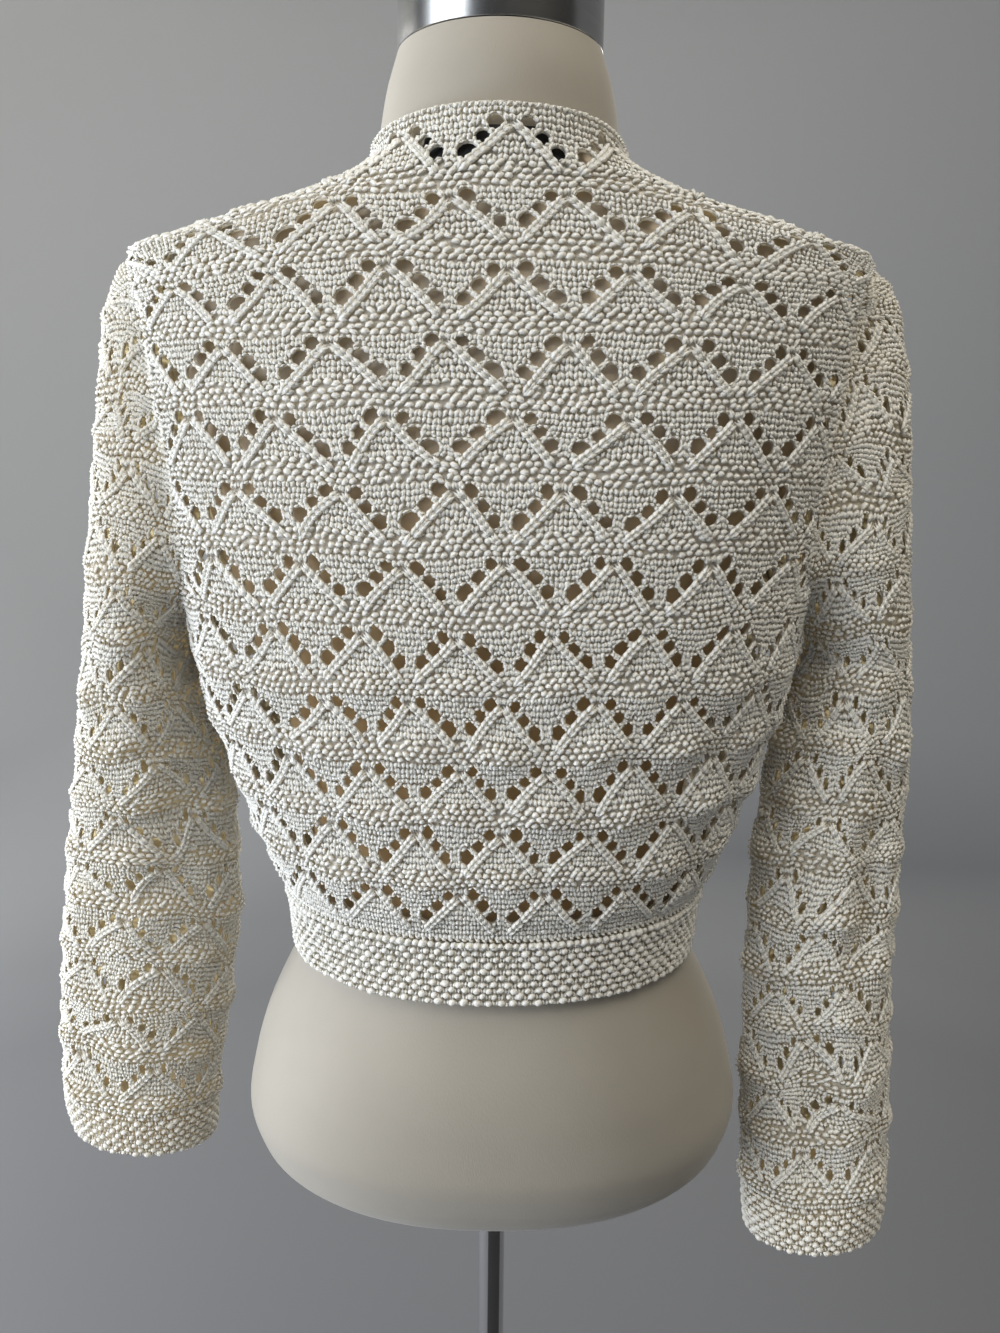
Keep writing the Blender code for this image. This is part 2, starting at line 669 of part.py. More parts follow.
class Sleeve:
    """A sleeve on the wearer's left; u from 0 on the outer line to 1 at the seam or armhole."""

    def __init__(self, sections, folds, rings, facing):
        self.sections = sections
        self.folds = folds
        self.rings = rings
        self.facing = facing

    def ring(self, u, z):
        inner = look_up(self.sections, "inner", z)
        outer = look_up(self.sections, "outer", z)
        centre_y = look_up(self.sections, "centre_y", z)
        depth = look_up(self.sections, "half_depth", z)
        turn = np.pi * u
        half = (outer - inner) / 2
        push = fold_depth(self.folds, np.degrees(turn) * self.facing, z)
        x = (outer + inner) / 2 + (half - push * np.abs(np.cos(turn))) * np.cos(turn)
        y = centre_y + self.facing * (depth - push * np.sin(turn)) * np.sin(turn)
        tilt = SLEEVE_TILT * ease((TILT_BELOW - z) / TILT_OVER)
        return np.stack((x, y, z + tilt * (x - (outer + inner) / 2)), axis=-1)

    def surface(self, u, z):
        """Ring points, drawn to the body's armhole edge above the underarm."""
        u, z = np.broadcast_arrays(np.asarray(u, float), np.asarray(z, float))
        points = self.ring(u, z)
        held = np.maximum(z, UNDERARM)
        goal = armhole_edge(self.rings, held) + armhole_side(self.rings, held) * SEAM
        pull = goal - self.ring(np.ones_like(u), held)
        weight = np.where(z >= UNDERARM - 1e-9, np.clip(u, 0, 1) ** 3, 0.0)
        return points + pull * weight[..., None]

    def normals(self, u, z):
        step = 1e-4
        u, z = np.broadcast_arrays(np.asarray(u, float), np.asarray(z, float))
        upper = z >= UNDERARM - 1e-9
        z_low = np.where(upper, np.maximum(z - step, UNDERARM), z - step)
        z_high = np.where(upper, np.minimum(z + step, SHOULDER_TIP), np.minimum(z + step, UNDERARM - 1e-6))
        across = self.surface(np.minimum(u + step, 1), z) - self.surface(np.maximum(u - step, 0), z)
        up = self.surface(u, z_high) - self.surface(u, z_low)
        return unit(np.cross(across, up)) * self.facing


SleeveLine = namedtuple("SleeveLine", "z lace_row")


def sleeve_rows(bottom):
    """Level lines of a sleeve below the underarm: an eyelet row on every other lace row."""
    lines = [SleeveLine(bottom + SEAM / 2, None)]
    z = bottom + SLEEVE_FIRST
    k = 0
    while z < UNDERARM - SLEEVE_LACE_END:
        lines.append(SleeveLine(z - EYELET / 2, k))
        lines.append(SleeveLine(z + EYELET / 2, None))
        lines.append(SleeveLine(z + LACE_PITCH, None))
        z += 2 * LACE_PITCH
        k += 1
    lines = [line for line in lines if line.z < UNDERARM - SLEEVE_PLAIN]
    return lines + [SleeveLine(UNDERARM - rise, None) for rise in UNDERARM_ROWS]


def sleeve_columns():
    """Lines round half a sleeve, in shares of the half: both sides of each eyelet and lines between them."""
    lines = [ColumnLine(0.0, None)]
    for k in range(SLEEVE_REPEATS):
        middle = k + 0.5
        if k:
            lines.append(ColumnLine(float(k), None))
        lines.append(ColumnLine(middle - SLEEVE_EYELET_SHARE, 0))
        lines.append(ColumnLine(middle + SLEEVE_EYELET_SHARE, None))
    lines.append(ColumnLine(float(SLEEVE_REPEATS), None))
    return [ColumnLine(line.place / SLEEVE_REPEATS, line.eyelet_set) for line in lines]


def build_sleeve(side, sections, folds, sign):
    """Two halves of a sleeve and its cuff; sign -1 mirrors it to the wearer's right."""
    columns = sleeve_columns()
    u = np.array([line.place for line in columns])
    low = sleeve_rows(sections[1].z)
    v_above = BODY_V[edge_height(BODY_V) >= UNDERARM - 1e-9]
    heights = edge_height(v_above)
    last = int(np.searchsorted(heights, CAP_END))
    z = np.concatenate((np.array([line.z for line in low]), heights[:last]))
    lace = [line.lace_row for line in low] + [None] * last
    cut = {(i, j) for i, k in enumerate(lace) if k is not None
           for j, line in enumerate(columns) if line.eyelet_set is not None}
    for half, rings, facing in (("back", BACK, 1.0), ("front", FRONT, -1.0)):
        sleeve = Sleeve(sections, folds, rings, facing)
        seam_u = np.clip(u, SEAM_TURN, 1 - SEAM_TURN)
        outside = sleeve.surface(seam_u[None, :], z[:, None])
        normal = sleeve.normals(seam_u[None, :], z[:, None])
        above = z >= UNDERARM - 1e-9
        outside[above, -1] = armhole_edge(rings, z[above]) + armhole_side(rings, z[above]) * SEAM
        outside[len(low), -1] = (outside[len(low), -1, 0], facing * SEAM / 2, UNDERARM + SEAM)
        edge_z = heights[last:]
        chain = armhole_edge(rings, edge_z) + armhole_side(rings, edge_z) * SEAM
        chain[-1] = np.array([chain[-1, 0] + SEAM, facing * SEAM / 2, chain[-1, 2]])
        steps = np.linalg.norm(np.diff(chain, axis=0), axis=-1)
        run = np.concatenate(([0.0], np.cumsum(steps))) / steps.sum()
        top = np.stack([np.interp(1.0 - u, run, chain[:, k]) for k in range(3)], axis=-1)
        body = rings.normal(heights, rings.length(heights) * edge_share(heights) - SEAM / 2)
        normal[above, -1] = unit(normal[above, -1] + body[:last])
        normal[len(low), -1] = np.array([0.0, 0.0, -1.0])
        top_normal = np.stack([np.interp(1.0 - u, run, body[last:, k]) for k in range(3)], axis=-1)
        outside = np.concatenate((outside, top[None]), axis=0)
        normal = np.concatenate((normal, unit(top_normal)[None]), axis=0)
        inside = outside - normal * WALL
        if sign < 0:
            outside, inside = mirrored(outside), mirrored(inside)
        cloth_wall(f"sleeve_{side}_{half}", outside, inside, YARN, cut)
    build_cuff(side, sections, folds, sign)


CuffLine = namedtuple("CuffLine", "share swell")
CUFF_LINES = (
    CuffLine(0.00, 0.0000),
    CuffLine(0.33, 0.0008),
    CuffLine(0.67, 0.0010),
    CuffLine(1.00, 0.0000),
)


def build_cuff(side, sections, folds, sign):
    """Seed-stitch cuff: a tube that carries on the sleeve's lowest ring."""
    bottom = sections[0].z
    z = bottom + column(CUFF_LINES, "share") * (sections[1].z - SEAM / 2 - bottom)
    swell = column(CUFF_LINES, "swell")
    u = np.linspace(0.0, 1.0, CUFF_COLUMNS)
    rings = []
    for facing, order in ((1.0, u[:-1]), (-1.0, u[::-1][:-1])):
        sleeve = Sleeve(sections, folds, BACK, facing)
        turn = order[None, :]
        level = z[:, None]
        step = 1e-4
        across = sleeve.ring(turn + step, level) - sleeve.ring(turn - step, level)
        up = sleeve.ring(turn, level + step) - sleeve.ring(turn, level - step)
        rings.append((sleeve.ring(turn, level), unit(np.cross(across, up)) * facing))
    points = np.concatenate((rings[0][0], rings[1][0]), axis=1)
    normal = np.concatenate((rings[0][1], rings[1][1]), axis=1)
    outside = points + normal * swell[:, None, None]
    inside = points - normal * BAND_WALL
    if sign < 0:
        outside, inside = mirrored(outside), mirrored(inside)
    cloth_wall(f"cuff_{side}", outside, inside, YARN, closed=True)


def crest_relief(u):
    """Height of the welts, fading out towards the seams."""
    crest = np.array([line.crest for line in BODY_ROWS])
    fade = 1.0 - ease((np.abs(u) - WELT_FADE_FROM) / WELT_FADE)
    return crest[:, None] * fade[None, :]


def build_body():
    z, along = back_place(BACK_U[None, :], BODY_V[:, None])
    outside = BACK.point(z, along)
    normal = BACK.normal(z, along)
    raised = outside + normal * crest_relief(BACK_U)[..., None]
    cloth_wall("back_panel", raised, outside - normal * WALL, YARN, body_cuts(BACK_COLUMNS))
    z, along = front_place(FRONT_U[None, :], BODY_V[:, None])
    outside = FRONT.point(z, along)
    normal = FRONT.normal(z, along)
    raised = outside + normal * crest_relief(FRONT_U)[..., None]
    inside = outside - normal * WALL
    cloth_wall("front_left", raised, inside, YARN, body_cuts(FRONT_COLUMNS))
    cloth_wall("front_right", mirrored(raised), mirrored(inside), YARN, body_cuts(FRONT_COLUMNS))


BandLine = namedtuple("BandLine", "share swell")
BAND_LINES = (
    BandLine(0.00, 0.0000),
    BandLine(0.30, 0.0004),
    BandLine(0.75, 0.0006),
    BandLine(0.90, 0.0020),
    BandLine(1.00, 0.0016),
)


def build_hem():
    """Hem band of three pieces; its fronts narrow towards the knot."""
    share = column(BAND_LINES, "share")[:, None]
    swell = column(BAND_LINES, "swell")[:, None, None]
    top = HEM_TOP - SEAM / 2
    z = HEM_LOW + share * (top - HEM_LOW)
    u = np.linspace(-1.0, 1.0, HEM_BACK_COLUMNS)[None, :]
    along = u * (BACK.length(z) - SEAM / 2)
    points = BACK.point(z, along)
    normal = BACK.normal(z, along)
    cloth_wall("hem_back", points + normal * swell, points - normal * BAND_WALL, YARN)
    u = np.linspace(0.0, 1.0, HEM_FRONT_COLUMNS)[None, :]
    pinch = ease(1.0 - u / PINCH_SHARE)
    middle = (HEM_LOW + top) / 2
    height = (top - HEM_LOW) * (1 - pinch) + BAND_AT_KNOT * pinch
    z = middle + (share - 0.5) * height
    start = KNOT_SIZE[0] / 2 + SEAM
    along = start + u * (FRONT.length(z) - SEAM / 2 - start)
    points = FRONT.point(z, along)
    normal = FRONT.normal(z, along)
    outside = points + normal * swell * (1 - PINCH_FLATTENS * pinch[..., None])
    inside = points - normal * BAND_WALL
    cloth_wall("hem_left", outside, inside, YARN)
    cloth_wall("hem_right", mirrored(outside), mirrored(inside), YARN)


TieLine = namedtuple("TieLine", "z middle half_width depth")
TIE_LINES = (
    TieLine(0.8862, 0.0088, 0.0080, 0.1065),
    TieLine(0.8750, 0.0110, 0.0100, 0.1115),
    TieLine(0.8500, 0.0150, 0.0140, 0.1150),
    TieLine(0.8200, 0.0190, 0.0160, 0.1120),
    TieLine(0.7900, 0.0220, 0.0165, 0.1135),
    TieLine(0.7600, 0.0250, 0.0165, 0.1155),
    TieLine(0.7300, 0.0265, 0.0165, 0.1140),
    TieLine(0.7050, 0.0275, 0.0160, 0.1125),
)


def build_tie():
    """Knot over the two band ends, and the ties' free ends under it."""
    work = bmesh.new()
    bmesh.ops.create_cube(work, size=1.0)
    for vertex in work.verts:
        pinched = KNOT_TAPER_LOW if vertex.co.z < 0 else KNOT_TAPER_HIGH
        x = vertex.co.x * KNOT_SIZE[0]
        y = vertex.co.y * KNOT_SIZE[1] * pinched
        vertex.co = (x + KNOT_CENTRE[0], y + KNOT_CENTRE[1], vertex.co.z * KNOT_SIZE[2] + KNOT_CENTRE[2])
    knot = add_object("tie_knot", finish_mesh("tie_knot", work), YARN)
    bevel = knot.modifiers.new("soft_edges", "BEVEL")
    bevel.width = KNOT_ROUND
    bevel.segments = 3
    bevel.limit_method = "NONE"
    share = np.linspace(-1.0, 1.0, TIE_COLUMNS)[None, :]
    z = column(TIE_LINES, "z")[::-1, None]
    middle = column(TIE_LINES, "middle")[::-1, None]
    half = column(TIE_LINES, "half_width")[::-1, None]
    depth = column(TIE_LINES, "depth")[::-1, None]
    for side, sign in (("left", 1.0), ("right", -1.0)):
        x = sign * (middle + share * half)
        curl = TIE_CURL * share ** 2 + TIE_TWIST * sign * share
        y = -depth + curl
        outside = np.stack(np.broadcast_arrays(x, y - TIE_WALL / 2, z), axis=-1)
        inside = np.stack(np.broadcast_arrays(x, y + TIE_WALL / 2, z), axis=-1)
        cloth_wall(f"tie_tail_{side}", outside, inside, YARN)


LABEL_FIRST = -0.70
LABEL_LAST = 0.67
LABEL_LOW = 1.338
LABEL_HIGH = 1.366
LABEL_CLEARANCE = 0.0015
LABEL_WALL = 0.0008


def build_label():
    """Plain label behind the back's top lace row, made from the back's own points."""
    places = BACK_U * HALF_REPEATS
    u = BACK_U[(places > LABEL_FIRST) & (places < LABEL_LAST)]
    top_rows = BODY_V[(row_height(BODY_V) > LABEL_LOW) & (row_height(BODY_V) < LABEL_HIGH)]
    v = np.concatenate(([row_share(LABEL_LOW)], top_rows))
    z, along = back_place(u[None, :], v[:, None])
    points = BACK.point(z, along)
    normal = BACK.normal(z, along)
    outside = points - normal * (WALL + LABEL_CLEARANCE)
    cloth_wall("neck_label", outside, outside - normal * LABEL_WALL, BLACK)


build_form()
build_body()
build_sleeve("left", SLEEVE_LEFT, FOLDS_LEFT, 1.0)
build_sleeve("right", SLEEVE_RIGHT, FOLDS_RIGHT, -1.0)
build_hem()
build_tie()
build_label()
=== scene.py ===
"""Looks of the tie-front lace cardigan on its dress form.

Metres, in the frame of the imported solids: +Z up, the front faces -Y, the wearer's left is +X.
Each knitted piece is a thin shell with its eyelets cut, under a mesh of its stitches.
"""
import json
import math
from collections import namedtuple

import bpy
import numpy as np
from mathutils import Matrix, Vector
from mathutils.geometry import delaunay_2d_cdt

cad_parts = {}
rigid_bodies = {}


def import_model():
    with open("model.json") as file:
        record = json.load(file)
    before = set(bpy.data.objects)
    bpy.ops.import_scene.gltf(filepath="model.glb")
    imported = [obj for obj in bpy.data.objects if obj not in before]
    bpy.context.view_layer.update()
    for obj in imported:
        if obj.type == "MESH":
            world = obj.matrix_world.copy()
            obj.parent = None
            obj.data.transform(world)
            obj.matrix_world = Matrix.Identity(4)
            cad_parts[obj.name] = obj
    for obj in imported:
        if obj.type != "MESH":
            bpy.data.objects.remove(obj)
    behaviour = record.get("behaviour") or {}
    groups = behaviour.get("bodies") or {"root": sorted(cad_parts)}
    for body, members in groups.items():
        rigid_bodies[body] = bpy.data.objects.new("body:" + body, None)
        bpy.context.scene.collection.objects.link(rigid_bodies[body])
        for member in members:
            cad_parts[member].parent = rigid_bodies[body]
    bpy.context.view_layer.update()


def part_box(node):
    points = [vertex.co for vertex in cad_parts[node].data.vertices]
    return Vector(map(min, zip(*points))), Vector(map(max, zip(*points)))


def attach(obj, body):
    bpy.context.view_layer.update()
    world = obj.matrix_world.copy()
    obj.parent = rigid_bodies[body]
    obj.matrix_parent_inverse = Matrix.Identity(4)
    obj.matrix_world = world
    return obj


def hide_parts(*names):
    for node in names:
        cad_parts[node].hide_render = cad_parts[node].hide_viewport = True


for item in list(bpy.data.objects):
    bpy.data.objects.remove(item, do_unlink=True)

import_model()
RANDOM = np.random.default_rng(11)

# Walls, gaps and heights, as in the solids
SEAM = 0.0003
HEM_LOW = 0.892
HEM_TOP = 0.931
NECK_TOP = 1.374
NECK_SIDE = 1.362
SHOULDER_TIP = 1.311
UNDERARM = 1.0815
BODY_LOW = HEM_TOP + SEAM / 2
NECK_DROP = NECK_TOP - SHOULDER_TIP

# Lace repeat: rows of V shapes, alternate rows half a repeat apart
LACE_FIRST = 0.948
LACE_PITCH = 0.0365
STITCHES = 12
COURSES = 11
COURSE = LACE_PITCH / COURSES
REPEAT = 0.052
REPEAT_LOW = 0.0475
REPEAT_HIGH = 0.0605
BACK_PHASE = 0.11
FRONT_PHASE = 0.20
SLEEVE_PHASE = 0.373
SLEEVE_REPEATS = 3
SLEEVE_FIRST = 0.022
CAP_END = 1.27617
CAP_RISE = 0.035

# Level rings of the form and of the body, from the foot up
Section = namedtuple("Section", "z half_width back front squareness")
FORM_SECTIONS = (
    Section(0.7220, 0.0750, 0.0520, 0.0420, 2.10),
    Section(0.7265, 0.1110, 0.0780, 0.0620, 2.20),
    Section(0.7400, 0.1420, 0.0990, 0.0800, 2.30),
    Section(0.7600, 0.1570, 0.1110, 0.0900, 2.35),
    Section(0.7850, 0.1625, 0.1160, 0.0960, 2.40),
    Section(0.8125, 0.1580, 0.1150, 0.0980, 2.35),
    Section(0.8390, 0.1505, 0.1110, 0.0980, 2.30),
    Section(0.8650, 0.1390, 0.1045, 0.0965, 2.25),
    Section(0.8920, 0.1255, 0.0980, 0.0950, 2.20),
    Section(0.9250, 0.1195, 0.0900, 0.0920, 2.20),
    Section(0.9600, 0.1165, 0.0830, 0.0910, 2.20),
    Section(1.0000, 0.1215, 0.0840, 0.0980, 2.25),
    Section(1.0600, 0.1420, 0.0920, 0.1180, 2.30),
    Section(1.1100, 0.1560, 0.1025, 0.1240, 2.40),
    Section(1.1500, 0.1660, 0.1078, 0.1190, 2.40),
    Section(1.2000, 0.1790, 0.1062, 0.1040, 2.40),
    Section(1.2500, 0.1900, 0.0998, 0.0880, 2.35),
    Section(1.2780, 0.1940, 0.0932, 0.0780, 2.30),
    Section(1.3010, 0.1930, 0.0862, 0.0695, 2.20),
    Section(1.3130, 0.1835, 0.0822, 0.0666, 2.15),
    Section(1.3175, 0.1730, 0.0808, 0.0658, 2.15),
    Section(1.3220, 0.1580, 0.0795, 0.0652, 2.15),
    Section(1.3270, 0.1380, 0.0780, 0.0646, 2.13),
    Section(1.3350, 0.1135, 0.0754, 0.0633, 2.11),
    Section(1.3450, 0.0895, 0.0720, 0.0616, 2.08),
    Section(1.3540, 0.0755, 0.0690, 0.0600, 2.05),
    Section(1.3620, 0.0700, 0.0662, 0.0593, 2.00),
    Section(1.3740, 0.0680, 0.0638, 0.0588, 2.00),
    Section(1.3955, 0.0640, 0.0620, 0.0590, 2.00),
    Section(1.4165, 0.0575, 0.0575, 0.0575, 2.00),
)
BODY_SECTIONS = (
    Section(0.8920, 0.1300, 0.1035, 0.1010, 2.20),
    Section(0.9310, 0.1330, 0.1030, 0.1050, 2.20),
    Section(0.9500, 0.1415, 0.1075, 0.1120, 2.25),
    Section(0.9800, 0.1525, 0.1100, 0.1190, 2.30),
    Section(1.0330, 0.1700, 0.1125, 0.1280, 2.40),
    Section(1.0815, 0.1830, 0.1145, 0.1315, 2.50),
    Section(1.1100, 0.1860, 0.1150, 0.1320, 2.50),
    Section(1.1500, 0.1900, 0.1145, 0.1270, 2.50),
    Section(1.2000, 0.1970, 0.1110, 0.1120, 2.50),
    Section(1.2500, 0.2050, 0.1045, 0.0960, 2.40),
    Section(1.2900, 0.2105, 0.0950, 0.0830, 2.30),
    Section(1.3110, 0.2110, 0.0885, 0.0765, 2.20),
    Section(1.3133, 0.2062, 0.0879, 0.0758, 2.19),
    Section(1.3164, 0.1935, 0.0871, 0.0750, 2.18),
    Section(1.3220, 0.1770, 0.0856, 0.0735, 2.16),
    Section(1.3270, 0.1590, 0.0843, 0.0722, 2.15),
    Section(1.3320, 0.1390, 0.0828, 0.0710, 2.14),
    Section(1.3400, 0.1145, 0.0803, 0.0690, 2.12),
    Section(1.3500, 0.0905, 0.0771, 0.0668, 2.10),
    Section(1.3620, 0.0752, 0.0733, 0.0653, 2.03),
    Section(1.3740, 0.0735, 0.0695, 0.0645, 2.00),
)

# Share of the half ring, from the middle to the side, where the armhole edge lies
Armhole = namedtuple("Armhole", "z share")
ARMHOLE = (
    Armhole(1.0815, 1.000),
    Armhole(1.0920, 0.930),
    Armhole(1.1120, 0.850),
    Armhole(1.1500, 0.765),
    Armhole(1.2000, 0.765),
    Armhole(1.2400, 0.790),
    Armhole(1.2740, 0.805),
    Armhole(1.2930, 0.870),
    Armhole(1.3040, 0.940),
    Armhole(1.3110, 1.000),
)

# Distance of each front edge from the middle of the front
FrontEdge = namedtuple("FrontEdge", "z x")
FRONT_EDGE = (
    FrontEdge(0.931, 0.010),
    FrontEdge(1.000, 0.016),
    FrontEdge(1.100, 0.030),
    FrontEdge(1.200, 0.046),
    FrontEdge(1.300, 0.062),
    FrontEdge(1.350, 0.070),
    FrontEdge(1.374, 0.0745),
)

# Level rings of the sleeves, from the cuff up
SleeveSection = namedtuple("SleeveSection", "z inner outer centre_y half_depth")
SLEEVE_LEFT = (
    SleeveSection(0.7150, 0.2050, 0.3040, -0.030, 0.0340),
    SleeveSection(0.7490, 0.2020, 0.3080, -0.028, 0.0360),
    SleeveSection(0.7900, 0.1950, 0.3070, -0.025, 0.0390),
    SleeveSection(0.8500, 0.1840, 0.3000, -0.021, 0.0420),
    SleeveSection(0.9200, 0.1750, 0.2890, -0.016, 0.0450),
    SleeveSection(0.9800, 0.1745, 0.2780, -0.011, 0.0480),
    SleeveSection(1.0330, 0.1790, 0.2670, -0.006, 0.0510),
    SleeveSection(1.0750, 0.1880, 0.2585, -0.001, 0.0530),
    SleeveSection(1.0815, 0.1890, 0.2575, 0.000, 0.0530),
    SleeveSection(1.1100, 0.1895, 0.2530, 0.000, 0.0530),
    SleeveSection(1.1500, 0.1900, 0.2470, 0.000, 0.0510),
    SleeveSection(1.2200, 0.1970, 0.2380, 0.000, 0.0420),
    SleeveSection(1.2657, 0.2040, 0.2325, 0.000, 0.0280),
    SleeveSection(1.2930, 0.2090, 0.2245, 0.000, 0.0160),
    SleeveSection(1.3110, 0.2110, 0.2140, 0.000, 0.0050),
)
SLEEVE_RIGHT = (
    SleeveSection(0.6920, 0.1740, 0.2620, 0.030, 0.0340),
    SleeveSection(0.7260, 0.1720, 0.2640, 0.028, 0.0360),
    SleeveSection(0.7700, 0.1690, 0.2650, 0.025, 0.0390),
    SleeveSection(0.8700, 0.1675, 0.2600, 0.018, 0.0420),
    SleeveSection(0.9500, 0.1695, 0.2610, 0.012, 0.0460),
    SleeveSection(1.0330, 0.1790, 0.2605, 0.006, 0.0510),
    SleeveSection(1.0750, 0.1880, 0.2580, 0.001, 0.0530),
    SleeveSection(1.0815, 0.1890, 0.2575, 0.000, 0.0530),
    SleeveSection(1.1100, 0.1895, 0.2550, 0.000, 0.0530),
    SleeveSection(1.1500, 0.1900, 0.2515, 0.000, 0.0510),
    SleeveSection(1.2200, 0.1970, 0.2457, 0.000, 0.0420),
    SleeveSection(1.2657, 0.2040, 0.2395, 0.000, 0.0280),
    SleeveSection(1.2930, 0.2090, 0.2300, 0.000, 0.0160),
    SleeveSection(1.3110, 0.2110, 0.2150, 0.000, 0.0050),
)

# Long soft folds of the sleeves: angle 0 is the outer line, 90 the back, 180 the inner line
Fold = namedtuple("Fold", "angle spread z_low z_high depth")
FOLDS_LEFT = (
    Fold(128.0, 24.0, 0.82, 1.14, 0.0100),
    Fold(62.0, 20.0, 0.72, 0.98, 0.0045),
    Fold(-100.0, 26.0, 0.76, 1.08, 0.0070),
)
FOLDS_RIGHT = (
    Fold(70.0, 17.0, 0.80, 1.12, 0.0075),
    Fold(104.0, 16.0, 0.69, 0.92, 0.0085),
    Fold(-95.0, 26.0, 0.74, 1.06, 0.0070),
)

# Soft creases as seen square on: ends in x and z, positive depth is a trough
Crease = namedtuple("Crease", "x_from z_from x_to z_to width depth")
BACK_CREASES = (
    Crease(0.165, 1.075, 0.095, 1.010, 0.011, 0.0016),
    Crease(0.150, 1.020, 0.105, 0.950, 0.009, 0.0014),
    Crease(-0.160, 1.080, -0.100, 1.015, 0.012, 0.0018),
    Crease(-0.140, 1.010, -0.108, 0.955, 0.009, 0.0014),
    Crease(0.150, 1.130, 0.135, 1.230, 0.013, 0.0012),
    Crease(-0.148, 1.120, -0.138, 1.215, 0.012, 0.0012),
)
FRONT_CREASES = (
    Crease(0.150, 1.070, 0.060, 0.960, 0.012, 0.0022),
    Crease(0.120, 1.010, 0.045, 0.945, 0.010, 0.0018),
    Crease(0.165, 1.120, 0.150, 1.220, 0.013, 0.0014),
    Crease(0.090, 1.130, 0.070, 1.060, 0.012, 0.0012),
)
LEFT_CREASES = (
    Crease(0.215, 1.170, 0.206, 0.985, 0.016, -0.0048),
    Crease(0.192, 1.125, 0.181, 0.990, 0.017, 0.0062),
    Crease(0.188, 1.030, 0.232, 1.012, 0.007, 0.0030),
    Crease(0.182, 0.985, 0.240, 0.962, 0.007, 0.0028),
    Crease(0.185, 0.935, 0.252, 0.918, 0.008, 0.0022),
    Crease(0.210, 0.880, 0.285, 0.872, 0.008, 0.0016),
    Crease(0.262, 1.120, 0.232, 1.050, 0.010, 0.0018),
    Crease(0.290, 0.840, 0.268, 0.760, 0.010, 0.0016),
)
RIGHT_CREASES = (
    Crease(0.182, 1.040, 0.236, 1.052, 0.008, 0.0024),
    Crease(0.176, 0.985, 0.225, 1.004, 0.007, 0.0020),
    Crease(0.205, 0.905, 0.250, 0.890, 0.008, 0.0018),
    Crease(0.176, 0.865, 0.200, 0.775, 0.009, 0.0020),
    Crease(0.238, 0.990, 0.228, 0.880, 0.009, 0.0022),
)
HEM_FRONT_CREASES = (
    Crease(0.030, 0.918, 0.075, 0.922, 0.005, 0.0012),
    Crease(0.026, 0.903, 0.062, 0.898, 0.005, 0.0014),
)
KNOT_CREASES = (
    Crease(-0.013, 0.928, -0.009, 0.888, 0.0022, 0.0020),
    Crease(0.012, 0.927, 0.010, 0.889, 0.0022, 0.0020),
    Crease(-0.006, 0.924, 0.007, 0.893, 0.0030, 0.0008),
)
HEM_CREASES = (
    Crease(0.118, 0.925, 0.096, 0.895, 0.006, 0.0014),
    Crease(0.100, 0.928, 0.076, 0.900, 0.006, 0.0010),
    Crease(-0.116, 0.926, -0.098, 0.898, 0.006, 0.0014),
)


def column(table, name):
    """One named column of a table, as an array."""
    return np.array([getattr(row, name) for row in table])


def curve(knots, values, at):
    """Smooth curve through a table's column that never overshoots its rows."""
    step = np.diff(knots)
    slope = np.diff(values) / step
    product = slope[:-1] * slope[1:]
    mean = 2 * product / np.where(product > 0, slope[:-1] + slope[1:], 1.0)
    inner = np.where(product > 0, mean, 0.0)
    tangent = np.concatenate(([slope[0]], inner, [slope[-1]]))
    at = np.clip(at, knots[0], knots[-1])
    k = np.clip(np.searchsorted(knots, at, side="right") - 1, 0, len(step) - 1)
    t = (at - knots[k]) / step[k]
    low = values[k] * (1 + 2 * t) + tangent[k] * step[k] * t
    high = values[k + 1] * (3 - 2 * t) + tangent[k + 1] * step[k] * (t - 1)
    return low * (1 - t) ** 2 + high * t ** 2


def look_up(table, name, at):
    """A table's column as a smooth function of its z."""
    return curve(column(table, "z"), column(table, name), np.asarray(at, dtype=float))


def row_at(table, at):
    """All of a table's columns after z, as smooth functions of its z."""
    return [look_up(table, name, at) for name in table[0]._fields[1:]]


def ease(t):
    """Smooth step from 0 to 1."""
    t = np.clip(t, 0.0, 1.0)
    return t * t * (3 - 2 * t)


def fade_ends(share, steepness):
    """1 over the middle of a share that runs from 0 to 1, and 0 at its ends."""
    return ease(steepness * share) * ease(steepness * (1 - share))


def unit(vectors):
    """Vectors at length 1."""
    return vectors / np.maximum(np.linalg.norm(vectors, axis=-1, keepdims=True), 1e-12)


def wrap(turns):
    """Shares of a repeat, brought to -0.5 to 0.5."""
    return (turns + 0.5) % 1.0 - 0.5


def signed_power(values, power):
    """Values raised to a power, with their signs kept."""
    return np.sign(values) * np.abs(values) ** power


def between(grid, i, j, u, v):
    """Values of a grid between its rows, from i by u, and its columns, from j by v."""
    low = grid[i, j] * (1 - v) + grid[i, j + 1] * v
    high = grid[i + 1, j] * (1 - v) + grid[i + 1, j + 1] * v
    return low * (1 - u) + high * u


def run_along(points):
    """Distance along a chain of points, at each of them."""
    return np.concatenate(([0.0], np.cumsum(np.linalg.norm(np.diff(points, axis=0), axis=-1))))


def circle(sides):
    """Angles of a ring's sides."""
    return np.arange(sides) * 2 * math.pi / sides


def combine(*axes):
    """Every combination of the axes' values, as flat arrays."""
    return [grid.ravel() for grid in np.meshgrid(*axes)]


